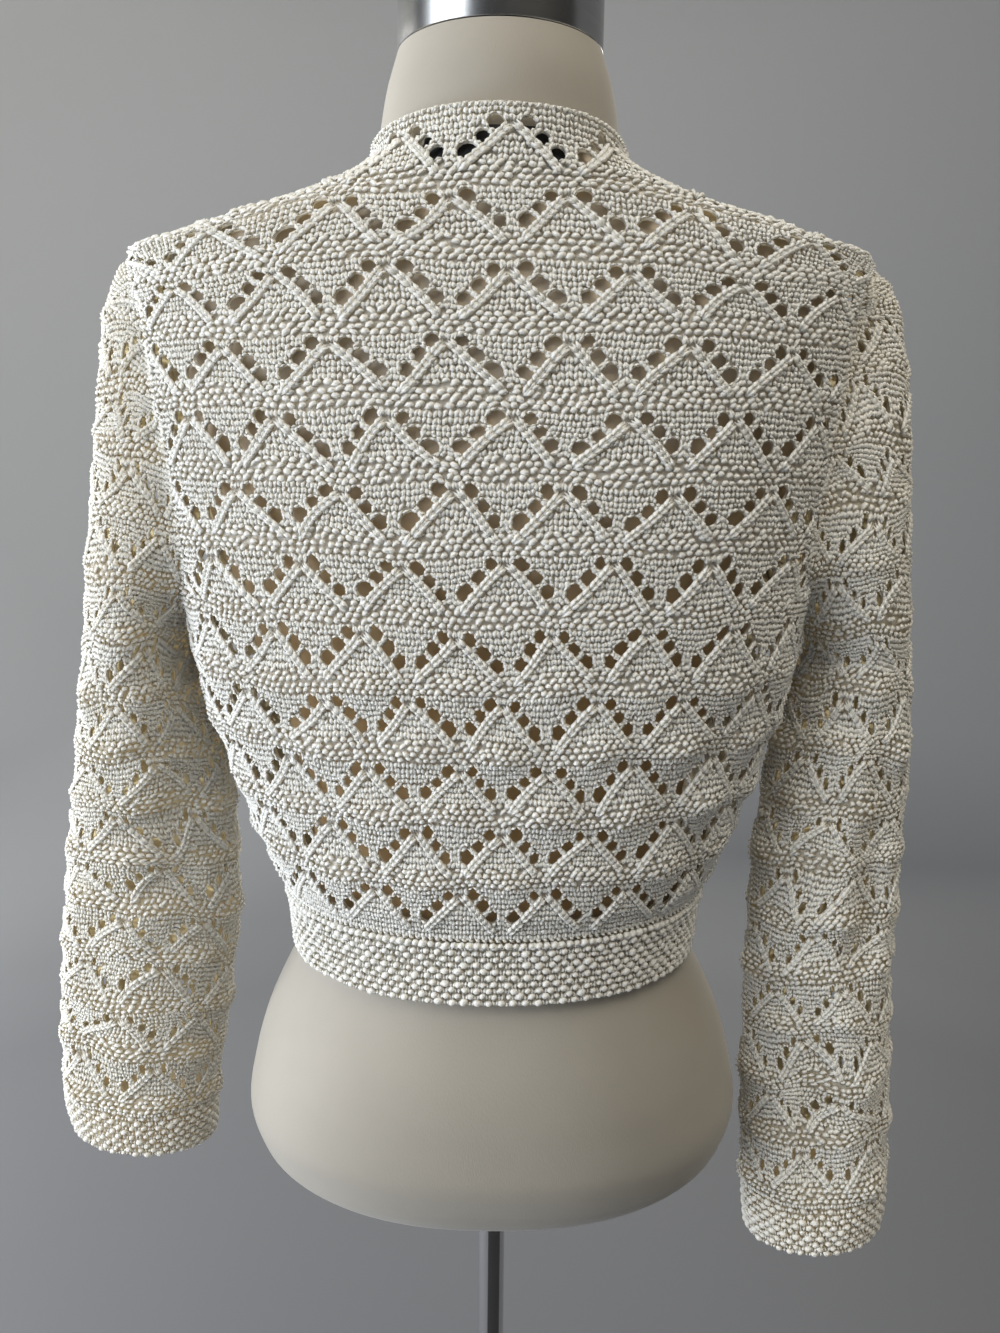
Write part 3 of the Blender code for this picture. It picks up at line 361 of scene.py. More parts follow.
# Slow waves over a chart: turn in each repeat across and each course up, and the start
Wave = namedtuple("Wave", "across up start")
STRAY_ACROSS = (Wave(1.9, 0.31, 0.4), Wave(4.3, -0.17, 2.1), Wave(0.9, 0.47, 0.0))
STRAY_UP = (Wave(2.6, 0.11, 0.0), Wave(5.1, 0.23, 1.1), Wave(1.3, -0.36, 2.7))
WELT_WAVES = (Wave(3.1, 0.29, 0.0), Wave(5.7, -0.43, 1.3))
EYELET_WAVES = (Wave(12.9, 7.3, 0.0),)


def waves(table, c, r):
    """Sum of a table's waves at places of the chart."""
    return sum(np.sin(wave.across * c + wave.up * r + wave.start) for wave in table)


class HalfRings:
    """Back or front half of a stack of level rings, measured along each from its middle to its side."""

    LEVELS = 400
    STEPS = 160

    def __init__(self, sections, depth_name, facing):
        self.z = np.linspace(sections[0].z, sections[-1].z, self.LEVELS)
        names = ("half_width", depth_name, "squareness")
        width, depth, squareness = (look_up(sections, name, self.z)[:, None] for name in names)
        angle = np.linspace(0.0, math.pi / 2, 4 * self.STEPS)[None, :]
        x = width * np.sin(angle) ** (2.0 / squareness)
        y = depth * np.maximum(np.cos(angle), 0.0) ** (2.0 / squareness)
        run = np.hypot(np.diff(x, axis=1), np.diff(y, axis=1))
        along = np.concatenate((np.zeros((self.LEVELS, 1)), np.cumsum(run, axis=1)), axis=1)
        self.lengths = along[:, -1]
        self.share = np.linspace(0.0, 1.0, self.STEPS)
        self.x = np.array([np.interp(self.share, a / a[-1], row) for a, row in zip(along, x)])
        self.y = np.array([np.interp(self.share, a / a[-1], row) for a, row in zip(along, y)]) * facing

    def length(self, z):
        return np.interp(z, self.z, self.lengths)

    def height_of_length(self, length):
        """Height on the shoulder at which the half ring has this length."""
        above = self.z >= SHOULDER_TIP
        return np.interp(length, self.lengths[above][::-1], self.z[above][::-1])

    def point(self, z, along):
        """Points at heights z, along the ring from its middle; x takes the sign of along."""
        z, along = np.broadcast_arrays(np.asarray(z, float), np.asarray(along, float))
        level = np.clip((z - self.z[0]) / (self.z[1] - self.z[0]), 0, self.LEVELS - 1.001)
        i = level.astype(int)
        place = np.clip(np.abs(along) / self.length(z), 0, 1) * (self.STEPS - 1)
        j = np.minimum(place.astype(int), self.STEPS - 2)
        x, y = (between(grid, i, j, level - i, place - j) for grid in (self.x, self.y))
        return np.stack((x * np.sign(along), y, z), axis=-1)

    def along_for_x(self, z, x):
        """Distance along the ring at which it reaches x."""
        found = []
        for height, target in zip(z, x):
            along = self.share * self.length(height)
            ring = self.point(np.full(self.STEPS, height), along)
            found.append(np.interp(target, ring[:, 0], along))
        return np.array(found)


BACK = HalfRings(BODY_SECTIONS, "back", 1.0)
FRONT = HalfRings(BODY_SECTIONS, "front", -1.0)
HALVES = ((BACK, 1.0), (FRONT, -1.0))
SIDES = (("left", False), ("right", True))

# Body panels: rows of stitches dip towards the shoulder tips
DIP_FROM = 0.70
DIP_OVER = 0.30
DIP_POWER = 2.2
WIDEN_FROM = 1.05
WIDEN_OVER = 0.19
HEM_REPEATS = 4.15
ADDED_REPEATS = 0.60
ADDED_OVER = 0.12
ARMHOLE_REPEATS = 3.4
CAST_OFF_OVER = 0.07
MOST_STRETCH = 1.3


def row_dip(level):
    """How far a row dips, as a share of the shoulder's slope."""
    v = (level - BODY_LOW) / (NECK_TOP - BODY_LOW)
    return np.clip((v - DIP_FROM) / DIP_OVER, 0.0, 1.0) ** DIP_POWER


def edge_height(level):
    """Height of a row where it meets the side or the armhole."""
    return level - NECK_DROP * row_dip(level)


def edge_along(rings, level):
    """Length of a row from the middle to the side seam, armhole or shoulder tip."""
    z = edge_height(level)
    return rings.length(z) * look_up(ARMHOLE, "share", z) - SEAM / 2


def ridge_drop(rings, along):
    """Share by which neck edge and shoulder have dropped below the neck, at this length of a half ring."""
    side = rings.length(NECK_SIDE)
    neck_edge = NECK_TOP - (NECK_TOP - NECK_SIDE) * (along / side) ** 2
    top = np.where(along < side, neck_edge, rings.height_of_length(np.maximum(along, side)))
    return (NECK_TOP - top) / NECK_DROP


def repeat_width(level):
    return REPEAT_LOW + (REPEAT_HIGH - REPEAT_LOW) * ease((level - WIDEN_FROM) / WIDEN_OVER)


def half_repeats(level):
    """Repeats from the middle to the side: gathered at the hem, cast off at the armhole."""
    widened = HEM_REPEATS + ADDED_REPEATS * ease((level - HEM_TOP) / ADDED_OVER)
    return widened - (widened - ARMHOLE_REPEATS) * ease((edge_height(level) - UNDERARM) / CAST_OFF_OVER)


def spread(rings, level, c):
    """Distance along a row for a place counted in repeats from the middle."""
    reach = edge_along(rings, level)
    last = half_repeats(level)
    width = np.minimum(repeat_width(level), MOST_STRETCH * reach / last)
    bend = (reach - width * last) / last ** 3
    return width * np.abs(c) + bend * np.abs(c) ** 3


def level_of(r):
    return LACE_FIRST + r * COURSE


def course_of(level):
    return (level - LACE_FIRST) / COURSE


def back_points(c, r):
    """Outside of the back: c in repeats from the middle to the wearer's right, r in courses."""
    level = level_of(r)
    along = spread(BACK, level, c)
    drop = ridge_drop(BACK, along / edge_along(BACK, level) * BACK.length(SHOULDER_TIP))
    z = level - NECK_DROP * row_dip(level) * drop
    along = np.minimum(along, BACK.length(z) - SEAM / 2)
    return BACK.point(z, -np.sign(c) * np.maximum(along, 1e-9))


def back_edges(r):
    last = half_repeats(level_of(r))
    return -last, last


FRONT_LEVELS = np.linspace(BODY_LOW, NECK_TOP, 120)
FRONT_STARTS = FRONT.along_for_x(FRONT_LEVELS, look_up(FRONT_EDGE, "x", FRONT_LEVELS))
EDGE_STEPS = 60


def front_start(level):
    return np.interp(level, FRONT_LEVELS, FRONT_STARTS)


def front_points(c, r):
    """Outside of the left front: c in repeats from the middle of the body."""
    level = level_of(r)
    edge = front_start(level)
    along = np.maximum(spread(FRONT, level, c), edge)
    neck = FRONT.length(NECK_SIDE)
    tip = FRONT.length(SHOULDER_TIP)
    share = (along - edge) / (edge_along(FRONT, level) - edge)
    z = level - NECK_DROP * row_dip(level) * ridge_drop(FRONT, neck + share * (tip - neck))
    return FRONT.point(z, np.minimum(along, FRONT.length(z) - SEAM / 2))


def front_edges(r):
    level = level_of(r)
    last = half_repeats(level)
    shares = np.linspace(0.0, 1.0, EDGE_STEPS)
    first = []
    for height, most in zip(np.atleast_1d(level), np.atleast_1d(last)):
        runs = spread(FRONT, np.full(EDGE_STEPS, height), shares * most)
        first.append(np.interp(front_start(height), runs, shares * most))
    return np.array(first), last


def armhole_edge(rings, z):
    """Points of the body's armhole edge on the wearer's left."""
    return rings.point(z, rings.length(z) * look_up(ARMHOLE, "share", z) - SEAM / 2)


def fold_depth(folds, angle, z):
    """How far the long folds push the sleeve's surface in."""
    depth = np.zeros(np.broadcast(angle, z).shape)
    for fold in folds:
        gap = (angle - fold.angle + 180.0) % 360.0 - 180.0
        middle = (fold.z_low + fold.z_high) / 2
        half = (fold.z_high - fold.z_low) / 2
        fade = ease(1.0 - np.abs(z - middle) / half)
        depth = depth + fold.depth * np.exp(-(gap / fold.spread) ** 2) * fade
    return depth


class Sleeve:
    """A sleeve on the wearer's left; c runs in repeats from the front's seam round to the back's."""

    PULL_IN = 0.022
    TILT = 0.10
    TILT_FROM = 1.04
    TILT_OVER = 0.20
    CAP_NARROWS = 0.55
    TURN_STEPS = 80
    CAP_STEPS = 60

    def __init__(self, sections, folds):
        self.sections = sections
        self.folds = folds
        self.foot = sections[1].z
        self.girths = np.linspace(UNDERARM, CAP_END, 40)
        turn = np.linspace(0.0, 1.0, self.TURN_STEPS)[None, :]
        halves = [self.half(turn, self.girths[:, None], rings, facing) for rings, facing in HALVES]
        runs = [np.linalg.norm(np.diff(half, axis=1), axis=-1).sum(axis=1) for half in halves]
        self.half_girth = (runs[0] + runs[1]) / 2

    def ring(self, u, z, facing):
        """Points of the back or front half of level rings, from the outer line to the inner line."""
        inner, outer, centre_y, depth = row_at(self.sections, z)
        centre = (outer + inner) / 2
        turn = np.pi * u
        push = fold_depth(self.folds, np.degrees(turn) * facing, z)
        x = centre + ((outer - inner) / 2 - push * np.abs(np.cos(turn))) * np.cos(turn)
        y = centre_y + facing * (depth - push * np.sin(turn)) * np.sin(turn)
        tilt = self.TILT * ease((self.TILT_FROM - z) / self.TILT_OVER)
        return np.stack((x, y, z + tilt * (x - centre)), axis=-1)

    def half(self, u, z, rings, facing):
        """Ring points of one half, drawn to the body's armhole edge near and above the underarm."""
        u, z = np.broadcast_arrays(np.asarray(u, float), np.asarray(z, float))
        held = np.maximum(z, UNDERARM)
        pull = armhole_edge(rings, held) - self.ring(np.ones_like(u), held, facing)
        weight = np.clip(u, 0, 1) ** 3 * ease((z - UNDERARM + self.PULL_IN) / self.PULL_IN)
        return self.ring(u, z, facing) + pull * weight[..., None]

    def cap(self, u, rings):
        """The armhole's top line, from the shoulder tip (u 0) down to the cap's last row (u 1)."""
        chain = armhole_edge(rings, np.linspace(CAP_END, SHOULDER_TIP, self.CAP_STEPS))
        run = run_along(chain)
        return np.stack([np.interp(1.0 - u, run / run[-1], axis) for axis in chain.T], axis=-1)

    def girth(self, z):
        """Length round the sleeve at a height."""
        turn = np.linspace(0.0, 1.0, self.TURN_STEPS)
        halves = [self.ring(turn, z, facing) for _, facing in HALVES]
        return sum(np.linalg.norm(np.diff(half, axis=0), axis=-1).sum() for half in halves)

    def height(self, r):
        return self.foot + SLEEVE_FIRST + r * COURSE

    def last(self, z):
        """Repeats in half the sleeve at each height: cast off along the armhole."""
        share = np.interp(z, self.girths, self.half_girth) / self.half_girth[0]
        narrowed = share * (1 - self.CAP_NARROWS * (z - CAP_END) / CAP_RISE)
        return SLEEVE_REPEATS * np.where(z > CAP_END, narrowed, share)

    def points(self, c, r):
        z = self.height(r)
        s = c / self.last(z)
        u = np.clip(np.abs(s), 0.0, 1.0)
        level = np.minimum(z, CAP_END)
        top = np.clip((z - CAP_END) / CAP_RISE, 0.0, 1.0)[..., None]
        back, front = (self.half(u, level, rings, facing) * (1 - top) + self.cap(u, rings) * top
                       for rings, facing in HALVES)
        return np.where((s >= 0)[..., None], back, front)

    def edges(self, r):
        last = self.last(self.height(r))
        return -last, last


# Lace chart of one repeat: eyelets, in repeats from the V's middle and courses above its foot
Eyelet = namedtuple("Eyelet", "place course half_width half_height")
EYELETS = (
    Eyelet(0.127, 0.00, 0.0042, 0.0040),
    Eyelet(0.250, 2.10, 0.0037, 0.0037),
    Eyelet(0.362, 4.20, 0.0035, 0.0037),
    Eyelet(-0.127, 0.00, 0.0038, 0.0038),
    Eyelet(-0.250, 2.10, 0.0036, 0.0036),
    Eyelet(-0.362, 4.20, 0.0034, 0.0036),
)
EYELETS_VARY = 0.10
BELOW_FOOT = 3
PURL_COURSES = (-3, -2, 6, 7)
EDGE_MARGIN = 0.11

# Easing of the shoulder tips into a round, and of the neck edge to the form: where, spread, move out and
# up, and the side that it is for, with 0 for both
Push = namedtuple("Push", "x z spread out up side")
SHOULDER_PUSHES = (
    Push(0.226, 1.293, 0.018, 0.0050, 0.0028, 0),
    Push(0.214, 1.313, 0.012, -0.0016, -0.0014, 0),
    Push(0.220, 1.304, 0.010, 0.0018, 0.0008, 1),
    Push(0.220, 1.303, 0.013, 0.0066, 0.0016, -1),
    Push(0.077, 1.364, 0.016, -0.0036, 0.0000, 0),
)


def rounded_shoulder(grid):
    """Points of a piece, with the cloth at the shoulder tips eased into a round."""
    side = np.sign(grid[..., 0])
    moved = grid.copy()
    for push in SHOULDER_PUSHES:
        gap = np.hypot(np.abs(grid[..., 0]) - push.x, grid[..., 2] - push.z)
        share = np.exp(-(gap / push.spread) ** 2) * (side * push.side >= 0)
        moved[..., 0] += push.out * side * share
        moved[..., 2] += push.up * share
    return moved


STRAY_AT_SIDES = 6
STRAY_AT_ENDS = 9


def hand_knit(across, up, twist=0.0):
    """Slow straying of a chart, in repeats and courses, with none at the edges.

    twist slopes the rows round a sleeve.
    """

    def stray(c, r, share, level):
        fade = fade_ends(share, STRAY_AT_SIDES) * ease(STRAY_AT_ENDS * level)
        fade = fade * ease(STRAY_AT_ENDS * (1 - level))
        turned = twist * np.sin(2 * np.pi * (share - 0.5))
        shift_c = 0.5 * across * fade * waves(STRAY_ACROSS, c, r)
        return shift_c, fade * (0.5 * up * waves(STRAY_UP, c, r) + turned)

    return stray


def eyelet_scale(c, r):
    """Size of an eyelet beside the chart's, the same each time for a centre."""
    return 1.0 + EYELETS_VARY * waves(EYELET_WAVES, c, r)


SHELL_SINK = 0.0015


class Cloth:
    """A knitted piece: points and normals at chart places, read from a fine grid of its surface.

    A place is c, in repeats across, and r, in courses up.
    """

    INSET_AT_SIDES = 12
    INSET_AT_ENDS = 20
    CREASE_ENDS = 0.35
    CREASE_TIP = 0.04
    CREASE_TURN = 1.5

    def __init__(self, points, edges, low, high, relief=None, creases=(), facing=0.0, mirror=False,
                 stray=None, inset=0.0, sink=SHELL_SINK, rows=420, columns=300):
        self.sink = sink
        self.low = low
        self.high = high
        self.r = np.linspace(low, high, rows)
        self.first, self.last = edges(self.r)
        share = np.linspace(0.0, 1.0, columns)[None, :]
        level = np.linspace(0.0, 1.0, rows)[:, None]
        c = self.first[:, None] + (self.last - self.first)[:, None] * share
        r = np.broadcast_to(self.r[:, None], c.shape)
        shift_c, shift_r = stray(c, r, share, level) if stray else (0.0, 0.0)
        grid = rounded_shoulder(points(c + shift_c, r + shift_r))
        normal = self.grid_normals(grid)
        raised = relief(c, r, grid) if relief else 0.0
        edge = fade_ends(share, self.INSET_AT_SIDES)
        raised = raised - inset * edge * fade_ends(level, self.INSET_AT_ENDS)
        grid = grid + normal * (raised - self.crease_depth(grid, normal, creases, facing))[..., None]
        side = np.array([-1.0 if mirror else 1.0, 1.0, 1.0])
        self.normal = self.grid_normals(grid) * side
        self.grid = grid * side

    @staticmethod
    def grid_normals(grid):
        """Normals of a grid, turned away from the middle of the part."""
        normal = unit(np.cross(np.gradient(grid, axis=1), np.gradient(grid, axis=0)))
        outward = np.sum((normal * grid)[..., :2])
        return normal if outward > 0 else -normal

    def crease_depth(self, grid, normal, creases, facing):
        """Depth of the soft creases at each point, on the side that faces the given way."""
        depth = np.zeros(grid.shape[:2])
        for crease in creases:
            start = np.array([crease.x_from, crease.z_from])
            run = np.array([crease.x_to, crease.z_to]) - start
            gap = grid[..., (0, 2)] - start
            share = np.clip(np.sum(gap * run, axis=-1) / np.sum(run * run), 0.0, 1.0)
            off = np.linalg.norm(gap - share[..., None] * run, axis=-1)
            inner = np.clip(share, self.CREASE_TIP, 1 - self.CREASE_TIP)
            fade = self.CREASE_ENDS + (1 - self.CREASE_ENDS) * np.sin(np.pi * inner)
            depth += crease.depth * np.exp(-(off / crease.width) ** 2) * fade
        return depth * ease(0.5 + self.CREASE_TURN * normal[..., 1] * facing)

    def side(self, r):
        """First and last place of a course."""
        return np.interp(r, self.r, self.first), np.interp(r, self.r, self.last)

    def most_repeats(self):
        """Whole repeats that are sure to reach past both sides from the middle."""
        return int(np.ceil(np.abs([self.first.min(), self.last.max()]).max())) + 1

    def holds(self, c, r, margin):
        """Whether places lie inside the piece, by a margin in repeats."""
        first, last = self.side(r)
        above = r > self.low + margin * REPEAT / COURSE
        below = r < self.high - 0.5 * margin * REPEAT / COURSE
        return above & below & (c > first + margin) & (c < last - margin)

    def sample(self, c, r):
        """Points and normals at places of the chart."""
        rows, columns = self.grid.shape[:2]
        first, last = self.side(r)
        share = np.clip((c - first) / (last - first), 0.0, 1.0) * (columns - 1)
        level = np.clip((r - self.low) / (self.high - self.low), 0.0, 1.0) * (rows - 1)
        j = np.minimum(share.astype(int), columns - 2)
        i = np.minimum(level.astype(int), rows - 2)
        v = (share - j)[..., None]
        u = (level - i)[..., None]
        return between(self.grid, i, j, u, v), unit(between(self.normal, i, j, u, v))

    def open_out(self, c, r):
        """Places as they are: a piece with no lace has no eyelets to flow round."""
        return c, r

    def in_eyelet(self, c, r, reach):
        return np.zeros(np.shape(c), bool)


class LaceCloth(Cloth):
    """A piece in the lace repeat.

    lean -1 mirrors the repeat, narrow below 1 closes its eyelets up, and tall is their height by course.
    """

    FLOW_FROM = 2.6
    FLOW_OVER = 1.2
    FLOW_RIM = 1.25

    def __init__(self, points, edges, low, high, phase, lean=1.0, narrow=1.0, plain_foot=0.0,
                 tall=np.ones_like, **shape):
        self.plain_foot = plain_foot
        self.tall = tall
        self.phase = phase
        self.lean = lean
        self.narrow = narrow
        super().__init__(points, edges, low, high, **shape)

    def cell(self, c, r):
        """Lace row, place from the V's middle and course above its foot."""
        row = np.floor((r + BELOW_FOOT) / COURSES)
        across = wrap(self.lean * (c - self.phase - 0.5 * (row % 2)))
        return row, across, r - row * COURSES

    def lace_rows(self):
        return np.arange(math.floor(self.low / COURSES), math.ceil(self.high / COURSES) + 1)

    def middles(self, *steps):
        """Lace row and middle of every V, once for each combination of the steps, then the steps."""
        most = self.most_repeats()
        row, n, *more = combine(self.lace_rows(), np.arange(-most, most + 1), *steps)
        return row, self.phase + 0.5 * (row % 2) + n, *more

    def eyelet_sizes(self, hole, c, r):
        """Half width and half height of an eyelet of the chart with its centre at a place."""
        scale = eyelet_scale(c, r)
        return hole.half_width * self.narrow * scale, hole.half_height * self.tall(r) * scale

    def eyelets(self):
        """Centres and half sizes of all the eyelets that fit inside the piece."""
        row, middle = self.middles()
        found = []
        for hole in EYELETS:
            c = middle + self.lean * hole.place
            r = row * COURSES + hole.course
            sized = np.column_stack((c, r, *self.eyelet_sizes(hole, c, r)))
            found.append(sized[self.holds(c, r, EDGE_MARGIN)])
        return np.concatenate(found)

    def eyelet_gaps(self, c, r):
        """For each eyelet of the chart: half sizes, the offsets from it in those, and where it is cut."""
        row, across, course = self.cell(c, r)
        for hole in EYELETS:
            gap = wrap(across - hole.place)
            centre_c = c - self.lean * gap
            centre_r = row * COURSES + hole.course
            half_width, half_height = self.eyelet_sizes(hole, centre_c, centre_r)
            yield (half_width, half_height, gap * REPEAT / half_width,
                   (course - hole.course) * COURSE / half_height, self.holds(centre_c, centre_r, EDGE_MARGIN))

    def open_out(self, c, r):
        """Moves places out of the eyelets, so that the stitches flow round them."""
        shift_c = np.zeros(np.shape(c))
        shift_r = np.zeros(np.shape(c))
        for half_width, half_height, across, up, cut in self.eyelet_gaps(c, r):
            far = np.maximum(np.hypot(across, up), 1e-6)
            push = ((far ** 3 + self.FLOW_RIM ** 3) ** (1 / 3) - far) / far
            push = push * ease((self.FLOW_FROM - far) / self.FLOW_OVER) * cut
            shift_c += self.lean * across * push * half_width / REPEAT
            shift_r += up * push * half_height / COURSE
        return c + shift_c, r + shift_r

    def in_eyelet(self, c, r, reach):
        inside = np.zeros(np.shape(c), bool)
        for _, _, across, up, cut in self.eyelet_gaps(c, r):
            inside |= cut & (np.hypot(across, up) < reach)
        return inside


# Meshes from arrays
def mesh_from_arrays(name, points, faces):
    """A smooth mesh from points and faces of one size."""
    mesh = bpy.data.meshes.new(name)
    mesh.vertices.add(len(points))
    mesh.vertices.foreach_set("co", np.asarray(points, np.float32).ravel())
    mesh.loops.add(faces.size)
    mesh.loops.foreach_set("vertex_index", faces.astype(np.int32).ravel())
    mesh.polygons.add(len(faces))
    mesh.polygons.foreach_set("loop_start", np.arange(0, faces.size, faces.shape[1], dtype=np.int32))
    mesh.polygons.foreach_set("loop_total", np.full(len(faces), faces.shape[1], np.int32))
    mesh.polygons.foreach_set("use_smooth", np.ones(len(faces), bool))
    mesh.update(calc_edges=True)
    mesh.validate()
    return mesh


def add_object(name, data):
    """A new object in the scene."""
    made = bpy.data.objects.new(name, data)
    bpy.context.scene.collection.objects.link(made)
    return made


def add_mesh(name, arrays, material):
    """A new object from arrays of points and faces, in one material."""
    mesh = mesh_from_arrays(name, *arrays)
    mesh.materials.append(material)
    return add_object(name, mesh)


def add_piece(name, arrays, material):
    """A piece of the part, on its one body."""
    piece = add_mesh(name, arrays, material)
    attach(piece, "root")
    return piece


def grid_faces(rows, columns, closed=False):
    """Quads of a grid of points, row by row; closed joins the last column to the first."""
    row, k = combine(np.arange(rows - 1), np.arange(columns - (not closed)))
    after = (k + 1) % columns
    return np.stack((row * columns + k, row * columns + after, (row + 1) * columns + after,
                     (row + 1) * columns + k), axis=1)


CHART_SCALE = np.array([REPEAT, COURSE])
SHELL_STEP = 0.0046
RING_SIDES = 12
RING_KEEP = 1.45
RING_OPEN = 0.95
MERGE = 1e-7


def eyelet_reach(places, hole):
    """Distances of places from an eyelet's centre, in its half sizes."""
    c, r, half_width, half_height = hole
    return np.hypot((places[:, 0] - c) * REPEAT / half_width, (places[:, 1] - r) * COURSE / half_height)


def shell_outline(levels, first, last):
    """Places round the edge of a piece, from the first and last place at each level."""

    def level_line(r, c_from, c_to):
        count = max(int(abs(c_to - c_from) * REPEAT / SHELL_STEP), 2)
        return [(c, r) for c in np.linspace(c_from, c_to, count, endpoint=False)]

    outline = level_line(levels[0], first[0], last[0]) + list(zip(last[:-1], levels[:-1]))
    outline += level_line(levels[-1], last[-1], first[-1]) + list(zip(first[:0:-1], levels[:0:-1]))
    return np.array(outline)


def shell_inside(levels, first, last, holes):
    """Places inside a piece, in staggered rows, clear of its eyelets."""
    inner = []
    for k, r in enumerate(levels[1:-1]):
        width = last[k + 1] - first[k + 1]
        steps = max(int(width * REPEAT / SHELL_STEP), 2)
        c = first[k + 1] + (np.arange(1, steps) + 0.5 * (k % 2)) * width / (steps + 0.5)
        inner.append(np.stack((c, np.full(len(c), r)), axis=1))
    inner = np.concatenate(inner)
    for hole in holes:
        inner = inner[eyelet_reach(inner, hole) > RING_KEEP]
    return inner


def shell_arrays(cloth):
    """Thin shell of a piece: a triangulated chart with its eyelets cut, laid just under the stitches."""
    levels = np.linspace(cloth.low, cloth.high, int((cloth.high - cloth.low) * COURSE / SHELL_STEP) + 2)
    first, last = cloth.side(levels)
    holes = cloth.eyelets()
    turn = circle(RING_SIDES)
    loops = [shell_outline(levels, first, last)]
    for c, r, half_width, half_height in holes:
        ring = (c + half_width / REPEAT * np.cos(turn), r + half_height / COURSE * np.sin(turn))
        loops.append(np.stack(ring, axis=1))
    edges = []
    count = 0
    for loop in loops:
        index = count + np.arange(len(loop))
        edges.append(np.stack((index, np.roll(index, -1)), axis=1))
        count += len(loop)
    plane = np.concatenate(loops + [shell_inside(levels, first, last, holes)]) * CHART_SCALE
    corners = [Vector(place) for place in plane]
    made = delaunay_2d_cdt(corners, np.concatenate(edges).tolist(), [], 0, MERGE, False)
    places = np.array([(p[0], p[1]) for p in made[0]]) / CHART_SCALE
    faces = np.array(made[2])
    middle = places[faces].mean(axis=1)
    low, high = cloth.side(middle[:, 1])
    keep = (middle[:, 0] > low) & (middle[:, 0] < high)
    for hole in holes:
        keep &= eyelet_reach(middle, hole) > RING_OPEN
    points, normals = cloth.sample(places[:, 0], places[:, 1])
    return points - normals * cloth.sink, faces[keep]


def chart_grid(cloth, rows, shares):
    """Points and normals of a piece on level rows, at shares of its width."""
    r = np.linspace(cloth.low, cloth.high, rows)[:, None]
    first, last = cloth.side(r)
    c = first + (last - first) * shares[None, :]
    return cloth.sample(c, np.broadcast_to(r, c.shape))


def closed_wall(outer, inner):
    """Closed wall between two grids of points: both faces, and all four edges."""
    rows, columns = outer.shape[:2]
    loop = np.concatenate((inner[::-1], outer))
    quads = grid_faces(2 * rows + 1, columns) % (2 * rows * columns)
    k = np.arange(rows - 1)
    inside = (rows - 1 - k) * columns
    outside = (rows + k) * columns
    end = np.stack((inside, outside, outside + columns, inside - columns), axis=1)
    return loop.reshape(-1, 3), np.concatenate((quads, end, end[:, ::-1] + columns - 1))


def wall_arrays(cloth, rows, columns, thick):
    """Closed wall of an open piece, its outer face just under the stitches."""
    points, normals = chart_grid(cloth, rows, np.linspace(0.0, 1.0, columns))
    return closed_wall(points - normals * SHELL_SINK, points - normals * thick)


END_HOLE = 0.02


def tube_arrays(cloth, rows, columns, thick=None):
    """Shell of a piece that closes on itself: an inner wall where thick is given, or else filled ends."""
    points, normals = chart_grid(cloth, rows, np.arange(columns) / columns)
    outer = points - normals * SHELL_SINK
    if thick:
        rings = np.concatenate(((points - normals * thick)[::-1], outer))
        faces = grid_faces(len(rings) + 1, columns, True) % (len(rings) * columns)
    else:
        centres = [ring.mean(axis=0) for ring in (outer[0], outer[-1])]
        ends = [centre + (ring - centre) * END_HOLE for centre, ring in zip(centres, (outer[0], outer[-1]))]
        rings = np.concatenate((ends[0][None], outer, ends[1][None]))
        faces = grid_faces(len(rings), columns, True)
    return rings.reshape(-1, 3), faces


# Stitches
GRAIN_FACES = np.array([(0, 4, 3), (0, 3, 2), (0, 2, 4), (1, 3, 4), (1, 2, 3), (1, 4, 2)])
PILL_FACES = np.array([(0, 4, 3), (0, 3, 2), (0, 2, 4), (1, 6, 7), (1, 5, 6), (1, 7, 5),
                       (2, 3, 6), (2, 6, 5), (3, 4, 7), (3, 7, 6), (4, 2, 5), (4, 5, 7)])
PILL_SHARE = 0.30
GRAINS_VARY = 0.10
BUMPS_VARY = 0.12
TIP_LIFT = 0.4
TIP_SINK = 0.0006
CLEAR_OF_EYELET = 1.08
CLEAR_AT = (0.15, 0.5, 0.85)
DOME_SIDES = 6
DOME_SHOULDER = 0.72
DOME_RISE = 0.68
UP = np.array([0.0, 0.0, 1.0])


def dome_faces():
    """Triangles of a closed dome: a foot ring, a shoulder ring and a top."""
    k = np.arange(DOME_SIDES)
    after = (k + 1) % DOME_SIDES
    sides = [np.stack((k, after, DOME_SIDES + after), axis=1),
             np.stack((k, DOME_SIDES + after, DOME_SIDES + k), axis=1)]
    top = np.stack((DOME_SIDES + k, DOME_SIDES + after, np.full(DOME_SIDES, 2 * DOME_SIDES)), axis=1)
    foot = np.array([(0, n + 1, n) for n in range(1, DOME_SIDES - 1)])
    return np.concatenate((*sides, top, foot))


